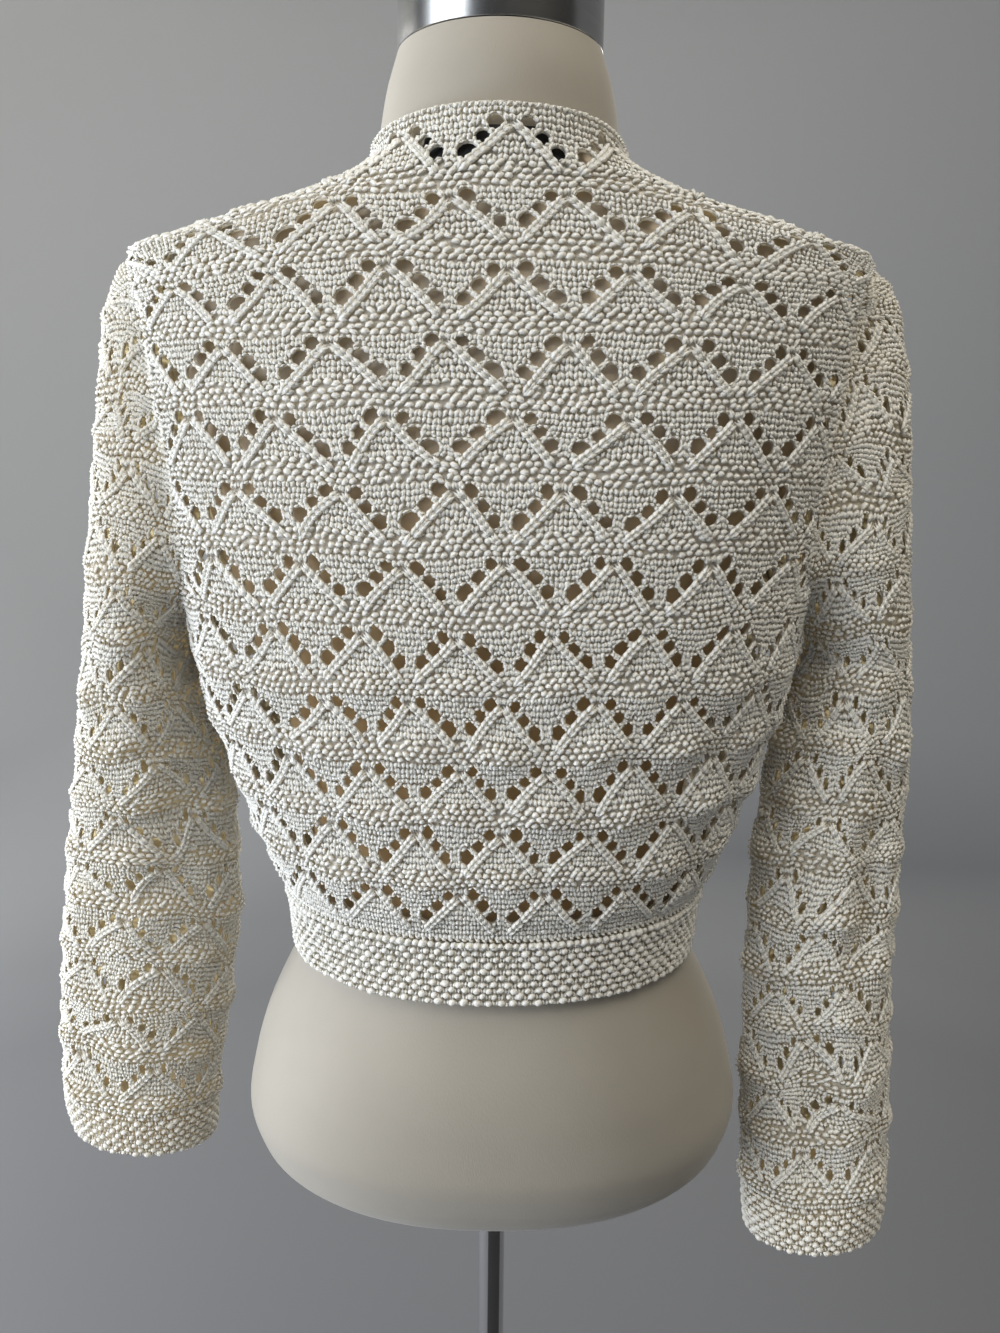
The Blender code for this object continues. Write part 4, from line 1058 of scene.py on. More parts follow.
class Stitches:
    """Yarn of one piece, gathered as arrays: grains with two tips, two sides and a top, and round bumps."""

    def __init__(self, cloth):
        self.cloth = cloth
        self.batches = []

    def add(self, c_from, r_from, c_to, r_to, half_width, height, lift=0.0, bow=0.0, flows=True, pill=False):
        """Grains between pairs of places; bow moves their middles up, in courses; flows rounds the eyelets.

        A pill keeps its full width and height along its middle.
        """
        cloth = self.cloth
        clear = np.ones(np.shape(c_from), bool)
        if flows:
            c_from, r_from = cloth.open_out(c_from, r_from)
            c_to, r_to = cloth.open_out(c_to, r_to)

        def place(share):
            return c_from + share * (c_to - c_from), r_from + share * (r_to - r_from)

        if flows:
            for share in CLEAR_AT:
                clear &= ~cloth.in_eyelet(*place(share), CLEAR_OF_EYELET)
        tip, tip_normal = cloth.sample(c_from, r_from)
        end, end_normal = cloth.sample(c_to, r_to)
        scale = 1.0 + GRAINS_VARY * RANDOM.standard_normal((*np.shape(c_from), 1))
        rise = TIP_LIFT * lift - TIP_SINK
        corners = [tip + tip_normal * rise, end + end_normal * rise]
        for share in (PILL_SHARE, 1.0 - PILL_SHARE) if pill else (0.5,):
            c, r = place(share)
            middle, normal = cloth.sample(c, r + bow)
            side = unit(np.cross(normal, end - tip))
            raised = middle + normal * lift
            corners += [raised + side * half_width * scale, raised + normal * height * scale,
                        raised - side * half_width * scale]
        grain = np.stack(corners, axis=-2)[clear]
        self.batches.append((grain.reshape(-1, len(corners), 3), PILL_FACES if pill else GRAIN_FACES))

    def add_bumps(self, c, r, half_width, half_height, height, tilt):
        """Round bumps at places, turned by tilt from level."""
        middle, normal = self.cloth.sample(c, r)
        level = unit(np.cross(UP, normal))
        up = np.cross(normal, level)
        along = level * np.cos(tilt)[:, None] + up * np.sin(tilt)[:, None]
        side = np.cross(normal, along)
        scale = 1.0 + BUMPS_VARY * RANDOM.standard_normal((len(c), 1)).clip(-2.0, 2.0)
        turn = circle(DOME_SIDES)
        ring = (along[:, None] * (half_width * np.cos(turn))[None, :, None]
                + side[:, None] * (half_height * np.sin(turn))[None, :, None]) * scale[:, None]
        rise = normal * height * scale
        foot = middle[:, None] + ring - normal[:, None] * TIP_SINK
        shoulder = middle[:, None] + DOME_SHOULDER * ring + rise[:, None] * DOME_RISE
        top = (middle + rise)[:, None]
        self.batches.append((np.concatenate((foot, shoulder, top), axis=1), dome_faces()))

    def arrays(self):
        count = 0
        faces = []
        for points, pattern in self.batches:
            start = count + np.arange(len(points)) * points.shape[1]
            faces.append((start[:, None, None] + pattern[None]).reshape(-1, 3))
            count += points.shape[0] * points.shape[1]
        return np.concatenate([points.reshape(-1, 3) for points, _ in self.batches]), np.concatenate(faces)


# Knit legs and purl bumps, with places in stitches across and courses up
STITCH = 1.0 / STITCHES
STITCH_MARGIN = 0.03
WOBBLE = 0.07
LEG_FOOT = -0.88
LEG_TOP = 0.72
LEG_FOOT_APART = 0.05
LEG_TOP_APART = 0.47
LEG_RISE_VARIES = 0.09
LEG_WIDTH = 0.00160
LEG_HEIGHT = 0.0012
BUMP_REACH = 0.58
BUMP_DROP = 0.15
BUMP_BOW = 0.20
BUMP_WOBBLE = 1.6
BUMP_WIDTH = 0.00158
BUMP_HEIGHT = 0.0012
BUMP_SLANT = 0.16
BUMP_SLANT_VARIES = 0.28
BUMP_LEVEL_VARIES = 0.13
PLAIN_TOP = 3.5
FOOT_CLEAR = 0.5
TOP_CLEAR = 0.2

# Slanted arms of the Vs: which side, courses between stitches, reach to each side, and the yarn's sizes
Arm = namedtuple("Arm", "side step reach half_width height lift")
ARMS = (
    Arm(1.0, 0.80, 0.0023, 0.00155, 0.0016, 0.0011),
    Arm(-1.0, 0.84, 0.0020, 0.00135, 0.0015, 0.0007),
)
Strand = namedtuple("Strand", "side foot top")
ARM_STRANDS = (Strand(-1.0, 0.15, 1.0), Strand(1.0, 0.15, 1.0), Strand(0.0, 0.0, 0.0))
ARM_PLACE = 0.258
ARM_SLOPE = 0.0568
ARM_FOOT = -2.4
ARM_TOP = 3.9
ARM_ABOVE = 0.4
ARM_SHARE = 0.046
ARM_THIN = 0.7
ARM_MARGIN = 0.05
ARM_BEHIND = 1.00
ARM_AHEAD = 0.88
ARM_VARIES = 0.08
ARM_MIDDLE_LIFT = 0.4


def arm_place(course):
    """Place of a V's arm at a course, in repeats from its middle."""
    return ARM_PLACE + ARM_SLOPE * course


def lace_stitches(cloth):
    """All the stitches of a lace piece: knit columns, purl welts, eyelet rims and the arms of the Vs."""
    stitches = Stitches(cloth)
    most = cloth.most_repeats()
    wale = np.arange(-most * STITCHES, most * STITCHES) + 0.5
    course = np.arange(math.ceil(cloth.low + FOOT_CLEAR), math.floor(cloth.high - TOP_CLEAR) + 1)
    w, j = combine(wale, course)
    c = cloth.phase + w / STITCHES
    inside = cloth.holds(c, j, STITCH_MARGIN)
    c, j = c[inside], j[inside]
    _, across, m = cloth.cell(c, j)
    thick = np.abs(wrap(across - arm_place(m))) < ARM_SHARE
    thin = np.abs(wrap(across + arm_place(m))) < ARM_THIN * ARM_SHARE
    on_arm = (m > ARM_FOOT) & (m < ARM_TOP + ARM_ABOVE) & (thick | thin)
    in_welt = np.isin(m, PURL_COURSES) & (j < cloth.high - PLAIN_TOP) & (j > cloth.low + cloth.plain_foot)
    purl = in_welt & ~on_arm
    knit = ~in_welt & ~on_arm
    wobble = WOBBLE * STITCH * RANDOM.standard_normal(c.shape)
    for sign in (-1.0, 1.0):
        foot = c[knit] + sign * LEG_FOOT_APART * STITCH + wobble[knit]
        top = c[knit] + sign * LEG_TOP_APART * STITCH + wobble[knit]
        rise = LEG_RISE_VARIES * RANDOM.standard_normal(foot.shape)
        stitches.add(foot, j[knit] + LEG_FOOT + rise, top, j[knit] + LEG_TOP + rise, LEG_WIDTH, LEG_HEIGHT)
    middle = c[purl] + (np.where(j[purl] % 2 > 0, 0.5 * STITCH, 0.0) + BUMP_WOBBLE * wobble[purl])
    count = int(purl.sum())
    tilt = cloth.lean * BUMP_SLANT + BUMP_SLANT_VARIES * RANDOM.standard_normal(count)
    level = j[purl] - BUMP_DROP + BUMP_LEVEL_VARIES * RANDOM.standard_normal(count)
    reach = BUMP_REACH * STITCH
    stitches.add(middle - reach, level - tilt, middle + reach, level + tilt, BUMP_WIDTH, BUMP_HEIGHT,
                 bow=BUMP_BOW, pill=True)
    add_rims(stitches)
    add_arms(stitches)
    return stitches


# Rims of the eyelets, with their reach and overlap in shares of an eyelet and of a grain
RIM_GRAINS = 8
RIM_REACH = 1.33
RIM_OVERLAP = 1.3
RIM_WIDTH = 0.00095
RIM_HEIGHT = 0.0011
RIM_LIFT = 0.0003


def add_rims(stitches):
    """A round of yarn along the edge of each eyelet."""
    c, r, half_width, half_height = (values[:, None] for values in stitches.cloth.eyelets().T)
    turn = (np.arange(RIM_GRAINS) + 0.5)[None, :] * 2 * math.pi / RIM_GRAINS
    half = RIM_OVERLAP * math.pi / RIM_GRAINS
    reach_c = RIM_REACH * half_width / REPEAT
    reach_r = RIM_REACH * half_height / COURSE
    stitches.add(c + reach_c * np.cos(turn - half), r + reach_r * np.sin(turn - half),
                 c + reach_c * np.cos(turn + half), r + reach_r * np.sin(turn + half),
                 RIM_WIDTH, RIM_HEIGHT, RIM_LIFT, flows=False)


def add_arms(stitches):
    """Stacked decreases: a thick braided chain up one arm of each V, a rougher one up the other."""
    cloth = stitches.cloth
    run = np.array([ARM_SLOPE * REPEAT, COURSE])
    for arm in ARMS:
        row, middle, m = cloth.middles(np.arange(ARM_FOOT, ARM_TOP, arm.step))
        way = cloth.lean * arm.side
        c = middle + way * arm_place(m)
        r = row * COURSES + m
        inside = cloth.holds(c, r, ARM_MARGIN)
        c, r = c[inside], r[inside]
        off = arm.reach * np.array([run[1], -run[0]]) / np.linalg.norm(run)
        jitter = ARM_VARIES * RANDOM.standard_normal(c.shape)
        c_foot = c + (jitter - ARM_BEHIND) * way * ARM_SLOPE
        c_top = c + (jitter + ARM_AHEAD) * way * ARM_SLOPE
        r_foot = r - ARM_BEHIND + jitter
        r_top = r + ARM_AHEAD + jitter
        for strand in ARM_STRANDS:
            c_off = strand.side * way * off[0] / REPEAT
            r_off = strand.side * off[1] / COURSE
            lift = arm.lift * (ARM_MIDDLE_LIFT + (1 - ARM_MIDDLE_LIFT) * abs(strand.side))
            stitches.add(c_foot + strand.foot * c_off, r_foot + strand.foot * r_off,
                         c_top + strand.top * c_off, r_top + strand.top * r_off,
                         arm.half_width, arm.height, lift, flows=False)


# Chains along the edges
CHAIN_PITCH = 0.0038
CHAIN_REACH = 1.2
CHAIN_WIDTH = 0.0013
CHAIN_HEIGHT = 0.0016
CHAIN_LIFT = 0.0005


def edge_chain(stitches, c, r, inset):
    """Slanted bound-off stitches along a line of places; inset is how far each reaches into the cloth."""
    points, _ = stitches.cloth.sample(c, r)
    run = run_along(points)
    start = np.arange(0.0, run[-1] - CHAIN_PITCH, CHAIN_PITCH)
    stop = start + CHAIN_REACH * CHAIN_PITCH
    stitches.add(np.interp(start, run, c) + inset[0], np.interp(start, run, r) + inset[1],
                 np.interp(stop, run, c), np.interp(stop, run, r),
                 CHAIN_WIDTH, CHAIN_HEIGHT, CHAIN_LIFT, flows=False)


def level_chain(stitches, first, last, r, rise, count):
    """An edge chain along a course, from its first place to its last."""
    edge_chain(stitches, np.linspace(first, last, count), np.full(count, r), (0.0, rise))


# Seed stitch of the bands, with places in shares of a stitch
SEED_WIDTH = 0.0035
SEED_COURSE = 0.0039
SEED_VARIES = 0.10
SEED_LEVEL_VARIES = 0.07
SEED_RISE = 0.1
SEED_BUMP = (0.0026, 0.0021, 0.0017)
SEED_TILT = 0.25
SEED_LEG = 0.0011
SEED_FOOT = 0.72
SEED_TOP = 0.62
SEED_FOOT_APART = 0.10
SEED_TOP_APART = 0.42
RIDGE_PITCH = 0.0043
RIDGE_BUMP = (0.0027, 0.0022, 0.0030)
RIDGE_TILT = 0.30
RIDGE_TILT_VARIES = 0.15


def ridge_row(stitches, share):
    """A row of larger bumps along a band, at a share of its height."""
    cloth = stitches.cloth
    r = cloth.low + share * (cloth.high - cloth.low)
    first, last = cloth.side(r)
    count = int((last - first) * REPEAT / RIDGE_PITCH)
    c = first + (np.arange(count) + 0.5) * (last - first) / count
    tilt = RIDGE_TILT + RIDGE_TILT_VARIES * RANDOM.standard_normal(count)
    stitches.add_bumps(c, np.full(count, r), *RIDGE_BUMP, tilt)


def seed_stitches(cloth):
    """Seed stitch: round bumps and flat knit legs take turns along and across."""
    stitches = Stitches(cloth)
    courses = max(int(round((cloth.high - cloth.low) * COURSE / SEED_COURSE)), 2)
    tall = (cloth.high - cloth.low) / courses
    wales = 2 * int(np.max(cloth.last - cloth.first) * REPEAT / SEED_WIDTH / 2)
    i, j = combine(np.arange(wales), np.arange(courses))
    r = cloth.low + (j + 0.5) * tall
    first, last = cloth.side(r)
    one = (last - first) / wales
    c = first + (i + 0.5) * one + SEED_VARIES * one * RANDOM.standard_normal(len(i))
    r = r + SEED_LEVEL_VARIES * tall * RANDOM.standard_normal(len(i))
    bump = (i + j) % 2 == 0
    squeeze = np.mean(one) * REPEAT / SEED_WIDTH
    half_width, half_height, height = SEED_BUMP
    tilt = SEED_TILT + SEED_TILT * RANDOM.standard_normal(int(bump.sum()))
    stitches.add_bumps(c[bump], r[bump] + SEED_RISE * tall, half_width * squeeze, half_height, height, tilt)
    c, r, one = c[~bump], r[~bump], one[~bump]
    for sign in (-1.0, 1.0):
        stitches.add(c + sign * SEED_FOOT_APART * one, r - SEED_FOOT * tall,
                     c + sign * SEED_TOP_APART * one, r + SEED_TOP * tall, SEED_LEG, SEED_LEG)
    return stitches


# Materials
class Surface:
    """A material on its Principled BSDF, with short ways to add nodes."""

    def __init__(self, name, sockets):
        self.material = bpy.data.materials.new(name)
        self.material.use_nodes = True
        self.nodes = self.material.node_tree.nodes
        self.link = self.material.node_tree.links.new
        self.shader = self.nodes["Principled BSDF"]
        self.fill(self.shader, sockets)

    @staticmethod
    def fill(node, sockets):
        for name, value in sockets.items():
            node.inputs[name].default_value = value

    def add(self, kind, sockets=None):
        """A new node, with its sockets' values."""
        node = self.nodes.new(kind)
        self.fill(node, sockets or {})
        return node

    def place(self):
        return self.add("ShaderNodeTexCoord").outputs["Object"]

    def axis(self, name):
        """One coordinate of a place on the object."""
        axes = self.add("ShaderNodeSeparateXYZ")
        self.link(self.place(), axes.inputs["Vector"])
        return axes.outputs[name]

    def noise(self, scale, detail, stretch=None):
        noise = self.add("ShaderNodeTexNoise", {"Scale": scale, "Detail": detail})
        place = self.place()
        if stretch:
            mapping = self.add("ShaderNodeMapping", {"Scale": stretch})
            self.link(place, mapping.inputs["Vector"])
            place = mapping.outputs["Vector"]
        self.link(place, noise.inputs["Vector"])
        return noise.outputs["Fac"]

    def spread_over(self, source, low, high):
        """A value from 0 to 1 as the source goes from low to high."""
        spread_node = self.add("ShaderNodeMapRange", {"From Min": low, "From Max": high})
        self.link(source, spread_node.inputs["Value"])
        return spread_node.outputs["Result"]

    def ramp(self, source, stops):
        """Colours by a value from 0 to 1."""
        ramp = self.add("ShaderNodeValToRGB")
        elements = ramp.color_ramp.elements
        for element, (position, colour) in zip(elements, (stops[0], stops[-1])):
            element.position = position
            element.color = (*colour, 1.0)
        for position, colour in stops[1:-1]:
            elements.new(position).color = (*colour, 1.0)
        self.link(source, ramp.inputs["Fac"])
        return ramp.outputs["Color"]

    def mix(self, first, second, blend_type="MIX"):
        """A mix of two colours, and its factor's socket."""
        mix = self.add("ShaderNodeMix")
        mix.data_type = "RGBA"
        mix.blend_type = blend_type
        self.link(first, mix.inputs["A"])
        self.link(second, mix.inputs["B"])
        return mix.outputs["Result"], mix.inputs["Factor"]

    def colour(self, source):
        self.link(source, self.shader.inputs["Base Color"])

    def bump(self, source, strength, distance):
        bump = self.add("ShaderNodeBump", {"Strength": strength, "Distance": distance})
        self.link(source, bump.inputs["Height"])
        self.link(bump.outputs["Normal"], self.shader.inputs["Normal"])


def yarn_material(name, deep, middle, bright, glow, passed):
    """Silky ivory yarn: flecks of random tone in its colour, the brightest a painted highlight where its
    plies would catch the light, and a share of light passed through.
    """
    surface = Surface(name, {"Roughness": 0.48, "Sheen Weight": 0.12, "Sheen Roughness": 0.40,
                             "Specular IOR Level": 0.40})
    # Painted highlight: the ramp's bright end lightens the flecks as glints of the plies.
    flecks = surface.noise(scale=750.0, detail=3.0)
    surface.colour(surface.ramp(flecks, ((0.30, deep), (0.52, middle), (0.72, bright))))
    plies = surface.noise(scale=1500.0, detail=2.0)
    surface.bump(plies, strength=0.60, distance=0.0007)
    through = surface.add("ShaderNodeBsdfTranslucent", {"Color": (*glow, 1.0)})
    mix = surface.add("ShaderNodeMixShader", {"Fac": passed})
    surface.link(surface.shader.outputs["BSDF"], mix.inputs[1])
    surface.link(through.outputs["BSDF"], mix.inputs[2])
    surface.link(mix.outputs["Shader"], surface.nodes["Material Output"].inputs["Surface"])
    return surface.material


# Painted light: under the back's cloth the jersey is painted a bright warm amber, most amber lower down, for
# light passed through and bounced off the yarn, seen through the eyelets.
COVERED = "covered"
GLOW_LOW = 1.06
GLOW_HIGH = 1.24
JERSEY_TONE = ((0.30, (0.300, 0.274, 0.230)), (0.70, (0.335, 0.307, 0.261)))
JERSEY_PAINTED_GLOW = ((0.0, (0.690, 0.500, 0.290)), (1.0, (0.560, 0.480, 0.385)))


def jersey_material():
    """Smooth beige jersey stretched over the form, with a painted warm glow where the back's cloth covers it.
    """
    surface = Surface("form_jersey_fabric", {"Roughness": 0.70, "Sheen Weight": 0.20,
                                             "Specular IOR Level": 0.30})
    tone = surface.ramp(surface.noise(scale=9.0, detail=5.0), JERSEY_TONE)
    painted_glow = surface.ramp(surface.spread_over(surface.axis("Z"), GLOW_LOW, GLOW_HIGH), JERSEY_PAINTED_GLOW)
    under = surface.add("ShaderNodeAttribute")
    under.attribute_name = COVERED
    blend, factor = surface.mix(tone, painted_glow)
    surface.link(under.outputs["Fac"], factor)
    surface.colour(blend)
    threads = surface.noise(scale=1400.0, detail=1.0, stretch=(1.0, 1.0, 0.35))
    surface.bump(threads, strength=0.25, distance=0.0004)
    return surface.material


def brushed_steel_material():
    surface = Surface("cap_brushed_steel", {"Roughness": 0.22, "Metallic": 1.0, "Anisotropic": 0.5})
    brushing = surface.noise(scale=60.0, detail=4.0, stretch=(0.4, 0.4, 60.0))
    surface.colour(surface.ramp(brushing, ((0.25, (0.40, 0.40, 0.40)), (0.75, (0.56, 0.56, 0.55)))))
    surface.bump(brushing, strength=0.10, distance=0.0003)
    return surface.material


def chrome_material():
    surface = Surface("pole_bright_chrome", {"Roughness": 0.09, "Metallic": 1.0})
    wear = surface.noise(scale=35.0, detail=3.0, stretch=(1.0, 1.0, 0.15))
    surface.colour(surface.ramp(wear, ((0.30, (0.70, 0.70, 0.71)), (0.70, (0.80, 0.80, 0.81)))))
    return surface.material


def enamel_material():
    surface = Surface("base_satin_enamel", {"Roughness": 0.42})
    grain = surface.noise(scale=420.0, detail=2.0)
    surface.colour(surface.ramp(grain, ((0.30, (0.030, 0.030, 0.032)), (0.70, (0.048, 0.048, 0.050)))))
    surface.bump(grain, strength=0.12, distance=0.0004)
    return surface.material


def label_material():
    surface = Surface("label_black_weave", {"Roughness": 0.75})
    weave = surface.noise(scale=1600.0, detail=1.0, stretch=(1.0, 1.0, 3.0))
    surface.colour(surface.ramp(weave, ((0.35, (0.008, 0.009, 0.012)), (0.70, (0.022, 0.024, 0.030)))))
    surface.bump(weave, strength=0.3, distance=0.0003)
    return surface.material


WARM_THROUGH = (0.97, 0.84, 0.54)
PALE_THROUGH = (0.98, 0.83, 0.50)
YARN = yarn_material("ivory_yarn", deep=(0.81, 0.805, 0.76), middle=(0.88, 0.88, 0.85),
                     bright=(0.94, 0.94, 0.93), glow=WARM_THROUGH, passed=0.24)
# Painted shade and glow: the ground between the stitches is a darker, warmer copy of the yarn, for the shade
# and warm light in the gaps.
GROUND_PAINTED_SHADE = yarn_material("ivory_ground_painted_shade", deep=(0.80, 0.78, 0.70), middle=(0.86, 0.84, 0.78),
                      bright=(0.91, 0.90, 0.86), glow=WARM_THROUGH, passed=0.38)
# Painted light: the sleeves' yarn is a lighter, warmer copy of the body's, for the warm light on the sleeves;
# their ground is darker and warmer again, painted shade and glow between their stitches.
SLEEVE_YARN_PAINTED_LIGHT = yarn_material("ivory_sleeve_yarn_painted_light", deep=(0.82, 0.81, 0.75), middle=(0.89, 0.885, 0.84),
                            bright=(0.95, 0.945, 0.92), glow=PALE_THROUGH, passed=0.27)
SLEEVE_GROUND_PAINTED_SHADE = yarn_material("ivory_sleeve_ground_painted_shade", deep=(0.80, 0.77, 0.67), middle=(0.86, 0.83, 0.74),
                             bright=(0.91, 0.89, 0.82), glow=PALE_THROUGH, passed=0.50)


# Knitted pieces
def shell_and_stitches(name, nodes, shell_mesh, stitches, ground=GROUND_PAINTED_SHADE, yarn=YARN):
    """Shell and stitches of one piece, in place of its solids."""
    shell = add_piece(f"{name}_cloth", shell_mesh, ground)
    knit = add_piece(f"{name}_stitches", stitches.arrays(), yarn)
    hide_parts(*nodes)
    return [shell, knit]


def knitted_piece(name, nodes, shell_mesh, stitches, flat, area=None, held="hung", rests_on=("form_torso",),
                  with_pieces=(), **looks):
    """Shell and stitches of a piece that was knitted flat. Its flat size is not used."""
    shell, knit = shell_and_stitches(name, nodes, shell_mesh, stitches, **looks)
    list(rests_on)
    list(with_pieces)


CREST_COURSE = 7.5
CREST_SPREAD = 2.2
PILLOW_HALF = 0.30
PILLOW_TALL = 4.2
WELT_SHARE = 0.35
RELIEF_FROM = 1.02
RELIEF_OVER = 0.12
RELIEF_FOOT = 3.0


def pillows(c, r, phase):
    """Swell of the diamonds between two lace rows, 1 in their middles."""
    row = np.floor((r - CREST_COURSE) / COURSES)
    swell = 0.0
    for step in (0.0, 1.0):
        across = wrap(c - phase - 0.5 * ((row + step) % 2))
        up = r - (row + step) * COURSES - CREST_COURSE
        swell = swell + np.exp(-(across / PILLOW_HALF) ** 2 - (up / PILLOW_TALL) ** 2)
    return swell


def welt_relief(lower, upper, uneven, foot, phase):
    """Relief of the purl welts: higher on the lower body, where the cloth is slack; none below foot."""

    def relief(c, r, grid):
        gap = (r - CREST_COURSE + COURSES / 2) % COURSES - COURSES / 2
        height = lower + (upper - lower) * ease((grid[..., 2] - RELIEF_FROM) / RELIEF_OVER)
        height = height * (1.0 + uneven * waves(WELT_WAVES, c, r))
        form = WELT_SHARE * np.exp(-(gap / CREST_SPREAD) ** 2) + (1.0 - WELT_SHARE) * pillows(c, r, phase)
        return height * form * ease((r - foot) / RELIEF_FOOT)

    return relief


EYELETS_DRAWN = 0.04
DRAWN_FROM = 1.13
DRAWN_OVER = 0.10


def stretched_eyelets(r):
    """Height of the body's eyelets: less on the upper body, where the cloth is drawn across."""
    return 1.0 - EYELETS_DRAWN * ease((level_of(r) - DRAWN_FROM) / DRAWN_OVER)


BODY_WELTS = {"lower": 0.0046, "upper": 0.0008, "uneven": 0.18, "foot": -2.0}
BODY_KNIT = {
    "plain_foot": 3.6,
    "tall": stretched_eyelets,
    "stray": hand_knit(across=0.035, up=0.45),
    "inset": 0.0010,
    "sink": 0.0013,
}
BACK_FLAT = (0.49, 0.443)
BACK_AREA = 0.195
FRONT_FLAT = (0.245, 0.443)
FRONT_AREA = 0.085
FRONT_COLUMNS = 200
BACK_LINE = 400
FRONT_LINE = 200
SIDE_LINE = 300
SIDE_INSET = 0.035
SIDE_DROP = -0.3
FRONT_INSET = (0.045, -0.2)


def build_body():
    low = course_of(BODY_LOW)
    high = course_of(NECK_TOP)
    back = LaceCloth(back_points, back_edges, low, high, BACK_PHASE, creases=BACK_CREASES, facing=1.0,
                     relief=welt_relief(phase=BACK_PHASE, **BODY_WELTS), **BODY_KNIT)
    stitches = lace_stitches(back)
    top = half_repeats(NECK_TOP)
    level_chain(stitches, -top, top, high, -1.0, BACK_LINE)
    first, last = back_edges(low)
    level_chain(stitches, first, last, low, 1.0, BACK_LINE)
    line = np.linspace(low, high, SIDE_LINE)
    for way, edge in zip((1.0, -1.0), back_edges(line)):
        edge_chain(stitches, edge, line, (SIDE_INSET * way, SIDE_DROP))
    knitted_piece("back_panel", ["back_panel"], shell_arrays(back), stitches, BACK_FLAT, BACK_AREA)
    first, last = front_edges(line)
    for side, mirror in SIDES:
        front = LaceCloth(front_points, front_edges, low, high, FRONT_PHASE, -1.0 if mirror else 1.0,
                          creases=FRONT_CREASES, facing=-1.0, mirror=mirror, columns=FRONT_COLUMNS,
                          relief=welt_relief(phase=FRONT_PHASE, **BODY_WELTS), **BODY_KNIT)
        stitches = lace_stitches(front)
        edge_chain(stitches, first, line, FRONT_INSET)
        edge_chain(stitches, last, line, (-SIDE_INSET, SIDE_DROP))
        level_chain(stitches, first[-1], last[-1], high, -1.0, FRONT_LINE)
        level_chain(stitches, first[0], last[0], low, 1.0, FRONT_LINE)
        knitted_piece(f"front_{side}", [f"front_{side}"], shell_arrays(front), stitches, FRONT_FLAT,
                      FRONT_AREA)
    return back


SleeveLook = namedtuple("SleeveLook", "side mirror sleeve creases stray")
SLEEVES = (
    SleeveLook("left", False, Sleeve(SLEEVE_LEFT, FOLDS_LEFT), LEFT_CREASES,
               hand_knit(across=0.06, up=0.9, twist=2.6)),
    SleeveLook("right", True, Sleeve(SLEEVE_RIGHT, FOLDS_RIGHT), RIGHT_CREASES,
               hand_knit(across=0.07, up=1.1, twist=1.4)),
)
SLEEVE_WELTS = {"lower": 0.0028, "upper": 0.0014, "uneven": 0.40, "foot": -20.0}
SLEEVE_NARROW = 0.64
SLEEVE_INSET = 0.0030
SLEEVE_FLAT = (0.31, 0.57)
SLEEVE_AREA = 0.15
SLEEVE_LOOKS = {"ground": SLEEVE_GROUND_PAINTED_SHADE, "yarn": SLEEVE_YARN_PAINTED_LIGHT}


def build_sleeves():
    for side, mirror, sleeve, creases, stray in SLEEVES:
        low = (SEAM / 2 - SLEEVE_FIRST) / COURSE
        high = (CAP_END + CAP_RISE - sleeve.foot - SLEEVE_FIRST) / COURSE
        cloth = LaceCloth(sleeve.points, sleeve.edges, low, high, SLEEVE_PHASE, -1.0 if mirror else 1.0,
                          SLEEVE_NARROW, relief=welt_relief(phase=SLEEVE_PHASE, **SLEEVE_WELTS),
                          creases=creases, facing=1.0, mirror=mirror, stray=stray, inset=SLEEVE_INSET)
        stitches = lace_stitches(cloth)
        line = np.linspace(low, high, SIDE_LINE)
        for way, edge in zip((1.0, -1.0), sleeve.edges(line)):
            edge_chain(stitches, edge, line, (SIDE_INSET * way, SIDE_DROP))
        knitted_piece(f"sleeve_{side}", [f"sleeve_{side}_back", f"sleeve_{side}_front"], shell_arrays(cloth),
                      stitches, SLEEVE_FLAT, SLEEVE_AREA, rests_on=["back_panel_cloth"], **SLEEVE_LOOKS)


# Bands in seed stitch
BandLine = namedtuple("BandLine", "share swell")
HEM_LINES = (
    BandLine(0.00, 0.0000),
    BandLine(0.30, 0.0004),
    BandLine(0.75, 0.0006),
    BandLine(0.90, 0.0016),
    BandLine(1.00, 0.0004),
)
CUFF_LINES = (
    BandLine(0.00, 0.0000),
    BandLine(0.33, 0.0008),
    BandLine(0.67, 0.0010),
    BandLine(1.00, 0.0000),
)
RIDGE_SHARE = 0.972
BAND_WALL = 0.0035
BAND_ROWS = 60
BAND_AT_KNOT = 0.027
PINCH_SHARE = 0.30
PINCH_FLATTENS = 0.7
KNOT_SIZE = (0.036, 0.025, 0.042)
HEM_BACK_FLAT = (0.36, 0.039)
HEM_BACK_GRID = (14, 110)
HEM_FRONT_FLAT = (0.165, 0.039)
HEM_FRONT_GRID = (14, 56)
CUFF_FLAT = (0.25, 0.034)
CUFF_GRID = (12, 72)


def level_edges(half):
    """Edges of a piece of even width, from half sizes in repeats."""
    return lambda r: (np.full(np.shape(r), -half), np.full(np.shape(r), half))


def band_relief(lines, high):
    def relief(c, r, grid):
        return curve(column(lines, "share"), column(lines, "swell"), r / high)

    return relief


def hem_piece(side, cloth, grid, flat):
    """One piece of the hem band: seed stitch under a ridge row."""
    stitches = seed_stitches(cloth)
    ridge_row(stitches, RIDGE_SHARE)
    knitted_piece(f"hem_{side}", [f"hem_{side}"], wall_arrays(cloth, *grid, BAND_WALL), stitches, flat,
                  held="stretched")


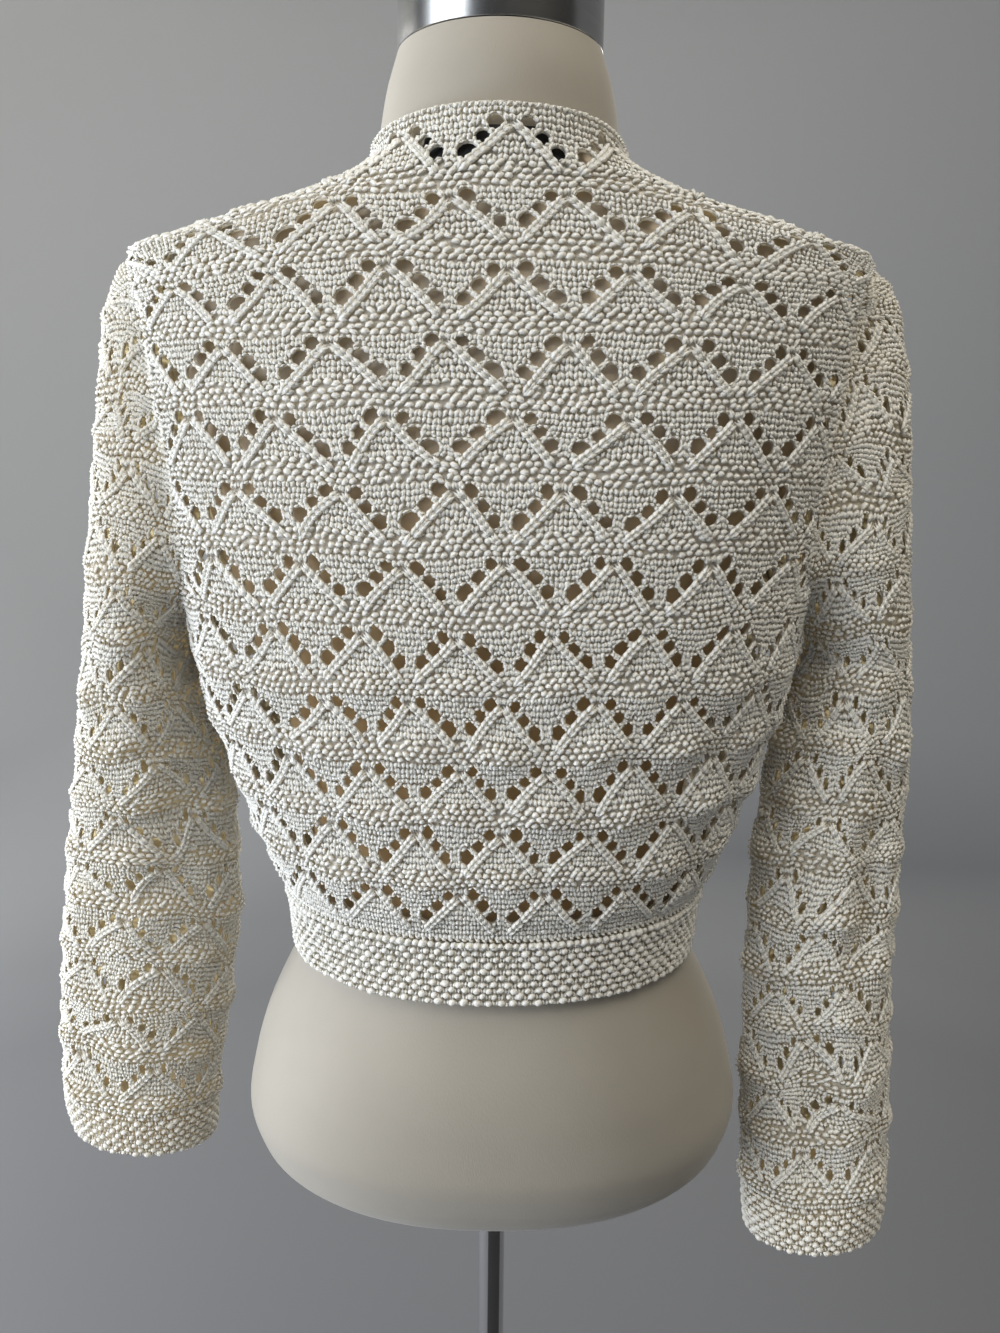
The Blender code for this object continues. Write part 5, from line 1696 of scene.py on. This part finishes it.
def build_hem():
    """Hem band of three pieces; its fronts narrow towards the knot."""
    top = HEM_TOP - SEAM / 2
    high = (top - HEM_LOW) / COURSE
    half = BACK.length(HEM_LOW) / REPEAT
    relief = band_relief(HEM_LINES, high)

    def back_band(c, r):
        z = HEM_LOW + r * COURSE
        return BACK.point(z, -c / half * (BACK.length(z) - SEAM / 2))

    cloth = Cloth(back_band, level_edges(half), 0.0, high, relief=relief, creases=HEM_CREASES, facing=1.0,
                  rows=BAND_ROWS)
    hem_piece("back", cloth, HEM_BACK_GRID, HEM_BACK_FLAT)
    start = KNOT_SIZE[0] / 2 + SEAM
    half_front = (FRONT.length(HEM_LOW) - start) / REPEAT / 2

    def pinch_at(u):
        """1 at the knot and 0 further along."""
        return ease(1.0 - u / PINCH_SHARE)

    def front_band(c, r):
        u = (c / half_front + 1) / 2
        height = (top - HEM_LOW) * (1 - pinch_at(u)) + BAND_AT_KNOT * pinch_at(u)
        z = (HEM_LOW + top) / 2 + (r / high - 0.5) * height
        return FRONT.point(z, start + u * (FRONT.length(z) - SEAM / 2 - start))

    def front_relief(c, r, grid):
        return relief(c, r, grid) * (1 - PINCH_FLATTENS * pinch_at((c / half_front + 1) / 2))

    for side, mirror in SIDES:
        cloth = Cloth(front_band, level_edges(half_front), 0.0, high, relief=front_relief,
                      creases=HEM_FRONT_CREASES, facing=-1.0, mirror=mirror, rows=BAND_ROWS)
        hem_piece(side, cloth, HEM_FRONT_GRID, HEM_FRONT_FLAT)


def build_cuffs():
    for side, mirror, sleeve, *_ in SLEEVES:
        bottom = sleeve.sections[0].z
        high = (sleeve.foot - SEAM / 2 - bottom) / COURSE
        half = sleeve.girth(bottom) / REPEAT / 2

        def cuff_points(c, r):
            z = bottom + r * COURSE
            back, front = (sleeve.ring(np.abs(c / half), z, facing) for _, facing in HALVES)
            return np.where((c >= 0)[..., None], back, front)

        cloth = Cloth(cuff_points, level_edges(half), 0.0, high, relief=band_relief(CUFF_LINES, high),
                      mirror=mirror, rows=BAND_ROWS)
        knitted_piece(f"cuff_{side}", [f"cuff_{side}"], tube_arrays(cloth, *CUFF_GRID, BAND_WALL),
                      seed_stitches(cloth), CUFF_FLAT, rests_on=[f"sleeve_{side}_cloth"], **SLEEVE_LOOKS)


# Tie ends and knot: middle and half width of each end, and its depth in front of the part's axis
TieLine = namedtuple("TieLine", "z middle half_width depth")
TIE_LINES = (
    TieLine(0.7050, 0.0275, 0.0160, 0.1125),
    TieLine(0.7300, 0.0265, 0.0165, 0.1140),
    TieLine(0.7600, 0.0250, 0.0165, 0.1155),
    TieLine(0.7900, 0.0220, 0.0165, 0.1135),
    TieLine(0.8200, 0.0190, 0.0160, 0.1120),
    TieLine(0.8500, 0.0150, 0.0140, 0.1150),
    TieLine(0.8750, 0.0110, 0.0100, 0.1115),
    TieLine(0.8862, 0.0088, 0.0080, 0.1065),
)
TIE_WALL = 0.004
TIE_CURL = 0.0022
TIE_TWIST = 0.0015
TIE_EDGE_POWER = 6
TIE_FLAT = (0.033, 0.182)
TIE_GRID = (60, 40)
KNOT_Y = -0.1065
KNOT_Z = 0.9075
KNOT_POWER = 3.4
KNOT_ENDS = 0.2
KNOT_GRID = (24, 48)


def build_knot():
    """The knot: a band end wrapped round the other, with its wraps pressed in as creases."""
    width, depth, tall = KNOT_SIZE
    high = tall / COURSE
    half = (width + depth) / REPEAT

    def knot_points(c, r):
        rise = np.clip(2 * r / high - 1, -1.0, 1.0)
        round_off = np.maximum(1 - np.abs(rise) ** KNOT_POWER, 0.0) ** (1 / KNOT_POWER)
        round_off = round_off * (1 - KNOT_ENDS) + KNOT_ENDS
        turn = math.pi * c / half
        x = width / 2 * round_off * signed_power(np.cos(turn), 2 / KNOT_POWER)
        y = depth / 2 * round_off * signed_power(np.sin(turn), 2 / KNOT_POWER)
        return np.stack((x, y + KNOT_Y, KNOT_Z + rise * tall / 2), axis=-1)

    cloth = Cloth(knot_points, level_edges(half), 0.0, high, creases=KNOT_CREASES, facing=-1.0, rows=80,
                  columns=160)
    return shell_and_stitches("tie_knot", ["tie_knot"], tube_arrays(cloth, *KNOT_GRID), seed_stitches(cloth))


def build_ties():
    """Free ends of the ties: flat strips in seed stitch, all round."""
    bottom = TIE_LINES[0].z
    high = (TIE_LINES[-1].z - bottom) / COURSE

    def edges(r):
        half = 2 * look_up(TIE_LINES, "half_width", bottom + r * COURSE) / REPEAT
        return -half, half

    def strip_points(sign):
        def points(c, r):
            z = bottom + r * COURSE
            middle, half_width, depth = row_at(TIE_LINES, z)
            turn = c / edges(r)[1]
            front = np.abs(turn) < 0.5
            share = np.where(front, 2 * turn, np.sign(turn) * 2 * (1 - np.abs(turn)))
            half_wall = TIE_WALL / 2 * np.sqrt(np.maximum(1 - np.abs(share) ** TIE_EDGE_POWER, 0.0))
            x = middle + share * half_width
            y = TIE_CURL * share ** 2 + TIE_TWIST * sign * share - depth
            return np.stack((x, y - np.where(front, half_wall, -half_wall), z), axis=-1)

        return points

    knot = build_knot()
    for side, mirror in SIDES:
        cloth = Cloth(strip_points(-1.0 if mirror else 1.0), edges, 0.0, high, mirror=mirror, rows=200,
                      columns=120)
        knitted_piece(f"tie_{side}", [f"tie_tail_{side}"], tube_arrays(cloth, *TIE_GRID),
                      seed_stitches(cloth), TIE_FLAT, rests_on=["form_torso_cover"],
                      with_pieces=() if mirror else knot)


LABEL_FIRST = -0.70
LABEL_LAST = 0.67
LABEL_LOW = 1.338
LABEL_HIGH = 1.364
LABEL_SINK = 0.0040
LABEL_WALL = 0.0008
LABEL_COLUMNS = 40
LABEL_ROWS = 12


def build_label(back):
    """Plain label behind the back's top lace row."""
    c, r = np.meshgrid(np.linspace(LABEL_FIRST, LABEL_LAST, LABEL_COLUMNS),
                       np.linspace(course_of(LABEL_LOW), course_of(LABEL_HIGH), LABEL_ROWS))
    points, normals = back.sample(c, r)
    outer = points - normals * LABEL_SINK
    wall = closed_wall(outer, outer - normals * LABEL_WALL)
    label = add_piece("neck_label_cloth", wall, label_material())
    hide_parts("neck_label")


# Form and stand
FORM_SIDES = 128
FORM_FINE_BELOW = 0.80
FORM_LOW_RINGS = 40
FORM_HIGH_RINGS = 110
COVER_EDGE = 0.010
NECK_SPREAD = 2.6
TURNED_SIDES = 96
SHARP_ANGLE = math.radians(35.0)
AXIS_GAP = 0.0002
BORE_RADIUS = 0.0100
CAP_RADIUS = 0.0575
CAP_ROUND = 0.012
CAP_EDGE = 0.0006
CAP_STEPS = 10
POLE_RADIUS = 0.0095
BASE_PROFILE = (
    (0.1742, 0.0), (0.1750, 0.0008), (0.1750, 0.0046), (0.1745, 0.0062), (0.1732, 0.0078), (0.1712, 0.0090),
    (0.0520, 0.0126), (0.0360, 0.0132), (0.0270, 0.0152), (0.0215, 0.0182), (0.0190, 0.0220),
    (0.0176, 0.0280), (0.0164, 0.0430), (0.0160, 0.0446), (0.0152, 0.0450), (0.0100, 0.0450),
    (0.0100, 0.0120),
)


def ring_arrays(rings):
    """Points and faces of a surface that runs through rings of equal count."""
    return np.concatenate(rings), grid_faces(len(rings), len(rings[0]), True)


def turned_arrays(profile):
    """Surface of revolution, from radii and heights."""
    x = np.cos(circle(TURNED_SIDES))
    y = np.sin(circle(TURNED_SIDES))
    rings = [(radius * x, radius * y, np.full(TURNED_SIDES, z)) for radius, z in profile]
    return ring_arrays([np.stack(ring, axis=-1) for ring in rings])


def turned_piece(name, node, profile, material):
    """A smooth solid of revolution in place of a faceted one; ends of the profile are filled."""
    closed = [(AXIS_GAP, profile[0][1]), *profile, (AXIS_GAP, profile[-1][1])]
    piece = add_piece(name, turned_arrays(closed), material)
    piece.data.set_sharp_from_angle(angle=SHARP_ANGLE)
    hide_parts(node)


def form_ring(z):
    angle = circle(FORM_SIDES)
    width, back, front, squareness = (float(value) for value in row_at(FORM_SECTIONS, z))
    depth = np.where(np.sin(angle) >= 0, back, front)
    x = width * signed_power(np.cos(angle), 2.0 / squareness)
    y = depth * signed_power(np.sin(angle), 2.0 / squareness)
    return np.stack((x, y, np.full(FORM_SIDES, z)), axis=-1)


def covered_share(points):
    """Where the jersey takes its painted glow: 1 under the back's cloth, 0 where the form shows and at the
    front.
    """
    x, y, z = points.T
    neck_edge = NECK_TOP - (NECK_TOP - NECK_SIDE) * (x / x.max() * NECK_SPREAD) ** 2
    level = ease((z - HEM_TOP) / COVER_EDGE) * ease((neck_edge - COVER_EDGE - z) / COVER_EDGE)
    return level * ease(1.0 + y / COVER_EDGE)


def build_form():
    bottom = FORM_SECTIONS[0].z
    heights = np.concatenate((np.linspace(bottom, FORM_FINE_BELOW, FORM_LOW_RINGS, endpoint=False),
                              np.linspace(FORM_FINE_BELOW, FORM_SECTIONS[-1].z, FORM_HIGH_RINGS)))
    hub = form_ring(bottom)
    hub = hub * BORE_RADIUS / np.linalg.norm(hub[:, :2], axis=1, keepdims=True)
    hub[:, 2] = bottom
    points, faces = ring_arrays([hub] + [form_ring(z) for z in heights])
    torso = add_piece("form_torso_cover", (points, faces), jersey_material())
    covered = torso.data.attributes.new(COVERED, "FLOAT", "POINT")
    covered.data.foreach_set("value", covered_share(points).astype(np.float32))
    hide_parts("form_torso")
    low, high = (corner[2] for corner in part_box("form_cap"))
    profile = [(CAP_RADIUS - CAP_EDGE, low), (CAP_RADIUS, low + CAP_EDGE)]
    for turn in np.linspace(0.0, math.pi / 2, CAP_STEPS):
        radius = CAP_RADIUS - CAP_ROUND * (1 - math.cos(turn))
        profile.append((radius, high - CAP_ROUND * (1 - math.sin(turn))))
    turned_piece("form_cap_turned", "form_cap", profile, brushed_steel_material())
    low, high = (corner[2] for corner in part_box("stand_pole"))
    pole = [(POLE_RADIUS, low), (POLE_RADIUS, high)]
    turned_piece("stand_pole_turned", "stand_pole", pole, chrome_material())
    turned_piece("stand_base_turned", "stand_base", BASE_PROFILE, enamel_material())


# Stage: the floor and wall, dark cards, light and camera
STAGE_FLOOR = 2.0
STAGE_BEND = 1.2
STAGE_TOP = 5.0
STAGE_STEPS = 24
STAGE_MIDDLE = 1e-4
FALLOFF_NEAR = 1.0
FALLOFF_FAR = 4.1
# Painted shade and light by distance from the middle: dark near the object, light far off.
STAGE_PAINTED_FALLOFF = (
    (0.00, (0.212, 0.216, 0.228)),
    (0.18, (0.232, 0.237, 0.249)),
    (0.29, (0.305, 0.311, 0.325)),
    (0.42, (0.452, 0.460, 0.476)),
    (0.52, (0.555, 0.564, 0.580)),
    (0.60, (0.665, 0.672, 0.682)),
    (0.71, (0.740, 0.744, 0.746)),
    (0.79, (0.800, 0.800, 0.794)),
    (1.00, (0.990, 0.985, 0.965)),
)
# Painted shade across the stage: darker towards the wearer's right, lighter towards the wearer's left, where
# the key and side lights stand.
STAGE_PAINTED_SIDE_SHADE = ((0.0, (0.320, 0.323, 0.330)), (1.0, (0.840, 0.846, 0.856)))


def stage_material():
    """Matt grey with light and shade painted in: darker near the object and towards the wearer's right,
    lighter far off.
    """
    surface = Surface("stage_pale_grey", {"Roughness": 0.9})
    distance = surface.add("ShaderNodeVectorMath")
    distance.operation = "LENGTH"
    surface.link(surface.place(), distance.inputs[0])
    away = surface.spread_over(distance.outputs["Value"], FALLOFF_NEAR, FALLOFF_FAR)
    across = surface.spread_over(surface.axis("X"), -STAGE_FLOOR, STAGE_FLOOR)
    both, factor = surface.mix(surface.ramp(away, STAGE_PAINTED_FALLOFF), surface.ramp(across, STAGE_PAINTED_SIDE_SHADE), "MULTIPLY")
    factor.default_value = 1.0
    surface.colour(both)
    return surface.material


def build_stage():
    """Seamless pale floor that curves up far behind the object."""
    profile = [(STAGE_MIDDLE, 0.0)]
    for turn in np.linspace(0.0, math.pi / 2, STAGE_STEPS):
        profile.append((STAGE_FLOOR + STAGE_BEND * math.sin(turn), STAGE_BEND * (1 - math.cos(turn))))
    profile.append((STAGE_FLOOR + STAGE_BEND, STAGE_TOP))
    add_mesh("stage", turned_arrays(profile), stage_material())


# Corners of the cards: two low ones, then the two above or beyond them
CARDS = (
    ((-2.3, 0.1, 0.1), (0.3, 2.4, 0.1), (0.3, 2.4, 2.9), (-2.3, 0.1, 2.9)),
    ((2.3, -0.6, 0.1), (2.05, 0.05, 0.1), (2.05, 0.05, 2.6), (2.3, -0.6, 2.6)),
    ((0.3, 2.4, 0.1), (1.5, 2.1, 0.1), (1.5, 2.1, 2.9), (0.3, 2.4, 2.9)),
    ((-1.6, 0.1, 0.01), (0.12, 0.1, 0.01), (0.9, 2.4, 0.01), (-1.6, 2.4, 0.01)),
)


def card_material():
    return Surface("stage_dark_card", {"Roughness": 0.9, "Base Color": (0.015, 0.015, 0.016, 1.0)}).material


def build_cards():
    """Dark cards that only the metal's reflections show."""
    dark = card_material()
    for number, corners in enumerate(CARDS):
        card = add_mesh(f"stage_card_{number}", (corners, np.array([(0, 1, 2, 3)])), dark)
        card.visible_camera = False
        card.visible_diffuse = False
        card.visible_shadow = False
        card.visible_transmission = False


Light = namedtuple("Light", "name place aim size power colour")
LIGHTS = (
    Light("key", (2.0, 1.2, 2.1), (0.0, 0.0, 1.0), 1.6, 35.0, (0.93, 1.0, 1.10)),
    Light("fill", (-1.0, 1.1, 2.9), (-0.1, 0.0, 1.30), 1.4, 9.0, (1.0, 0.89, 0.70)),
    Light("top", (-0.3, 0.7, 3.0), (0.0, 0.0, 1.2), 1.6, 29.0, (1.0, 0.95, 0.84)),
    Light("side", (2.0, 0.35, 0.9), (0.25, 0.0, 0.9), 0.9, 30.0, (0.95, 1.0, 1.07)),
    Light("front", (1.9, -1.2, 1.5), (0.1, 0.0, 1.0), 1.2, 34.0, (1.0, 0.99, 0.97)),
    Light("kicker", (0.80, 0.50, 0.66), (0.26, 0.0, 0.86), 0.3, 2.7, (0.93, 1.0, 1.09)),
    Light("front_right", (-0.7, -2.0, 1.3), (-0.15, 0.0, 1.0), 1.2, 24.0, (1.0, 0.97, 0.90)),
)
WORLD_COLOUR = (1.0, 0.90, 0.72, 1.0)
WORLD_STRENGTH = 0.075


def build_lights():
    for light in LIGHTS:
        data = bpy.data.lights.new(light.name, "AREA")
        data.size = light.size
        data.energy = light.power
        data.color = light.colour
        lamp = add_object(light.name, data)
        lamp.location = light.place
        lamp.rotation_euler = (Vector(light.aim) - Vector(light.place)).to_track_quat("-Z", "Y").to_euler()
        lamp.visible_camera = False


def build_world():
    world = bpy.data.worlds.new("soft_grey")
    world.use_nodes = True
    background = world.node_tree.nodes["Background"]
    background.inputs["Color"].default_value = WORLD_COLOUR
    background.inputs["Strength"].default_value = WORLD_STRENGTH
    bpy.context.scene.world = world


CAMERA_PLACE = (-0.0028, 0.62, 1.20)
CAMERA_DOWN = 12.0
CAMERA_ROLL = 0.5
CAMERA_LENS = 27.0
CAMERA_SENSOR = 36.0
CAMERA_NEAR = 0.02


def build_camera():
    data = bpy.data.cameras.new("photo_camera")
    data.lens = CAMERA_LENS
    data.sensor_width = CAMERA_SENSOR
    data.sensor_fit = "AUTO"
    data.clip_start = CAMERA_NEAR
    camera = add_object("photo_camera", data)
    turn = Matrix.Rotation(math.pi, 4, "Z") @ Matrix.Rotation(math.pi / 2 - math.radians(CAMERA_DOWN), 4, "X")
    roll = Matrix.Rotation(math.radians(CAMERA_ROLL), 4, "Z")
    camera.matrix_world = Matrix.Translation(CAMERA_PLACE) @ turn @ roll
    bpy.context.scene.camera = camera


build_form()
back_cloth = build_body()
build_sleeves()
build_hem()
build_cuffs()
build_ties()
build_label(back_cloth)
bpy.context.scene.view_settings.view_transform = "Standard"
build_stage()
build_cards()
build_world()
build_lights()
build_camera()
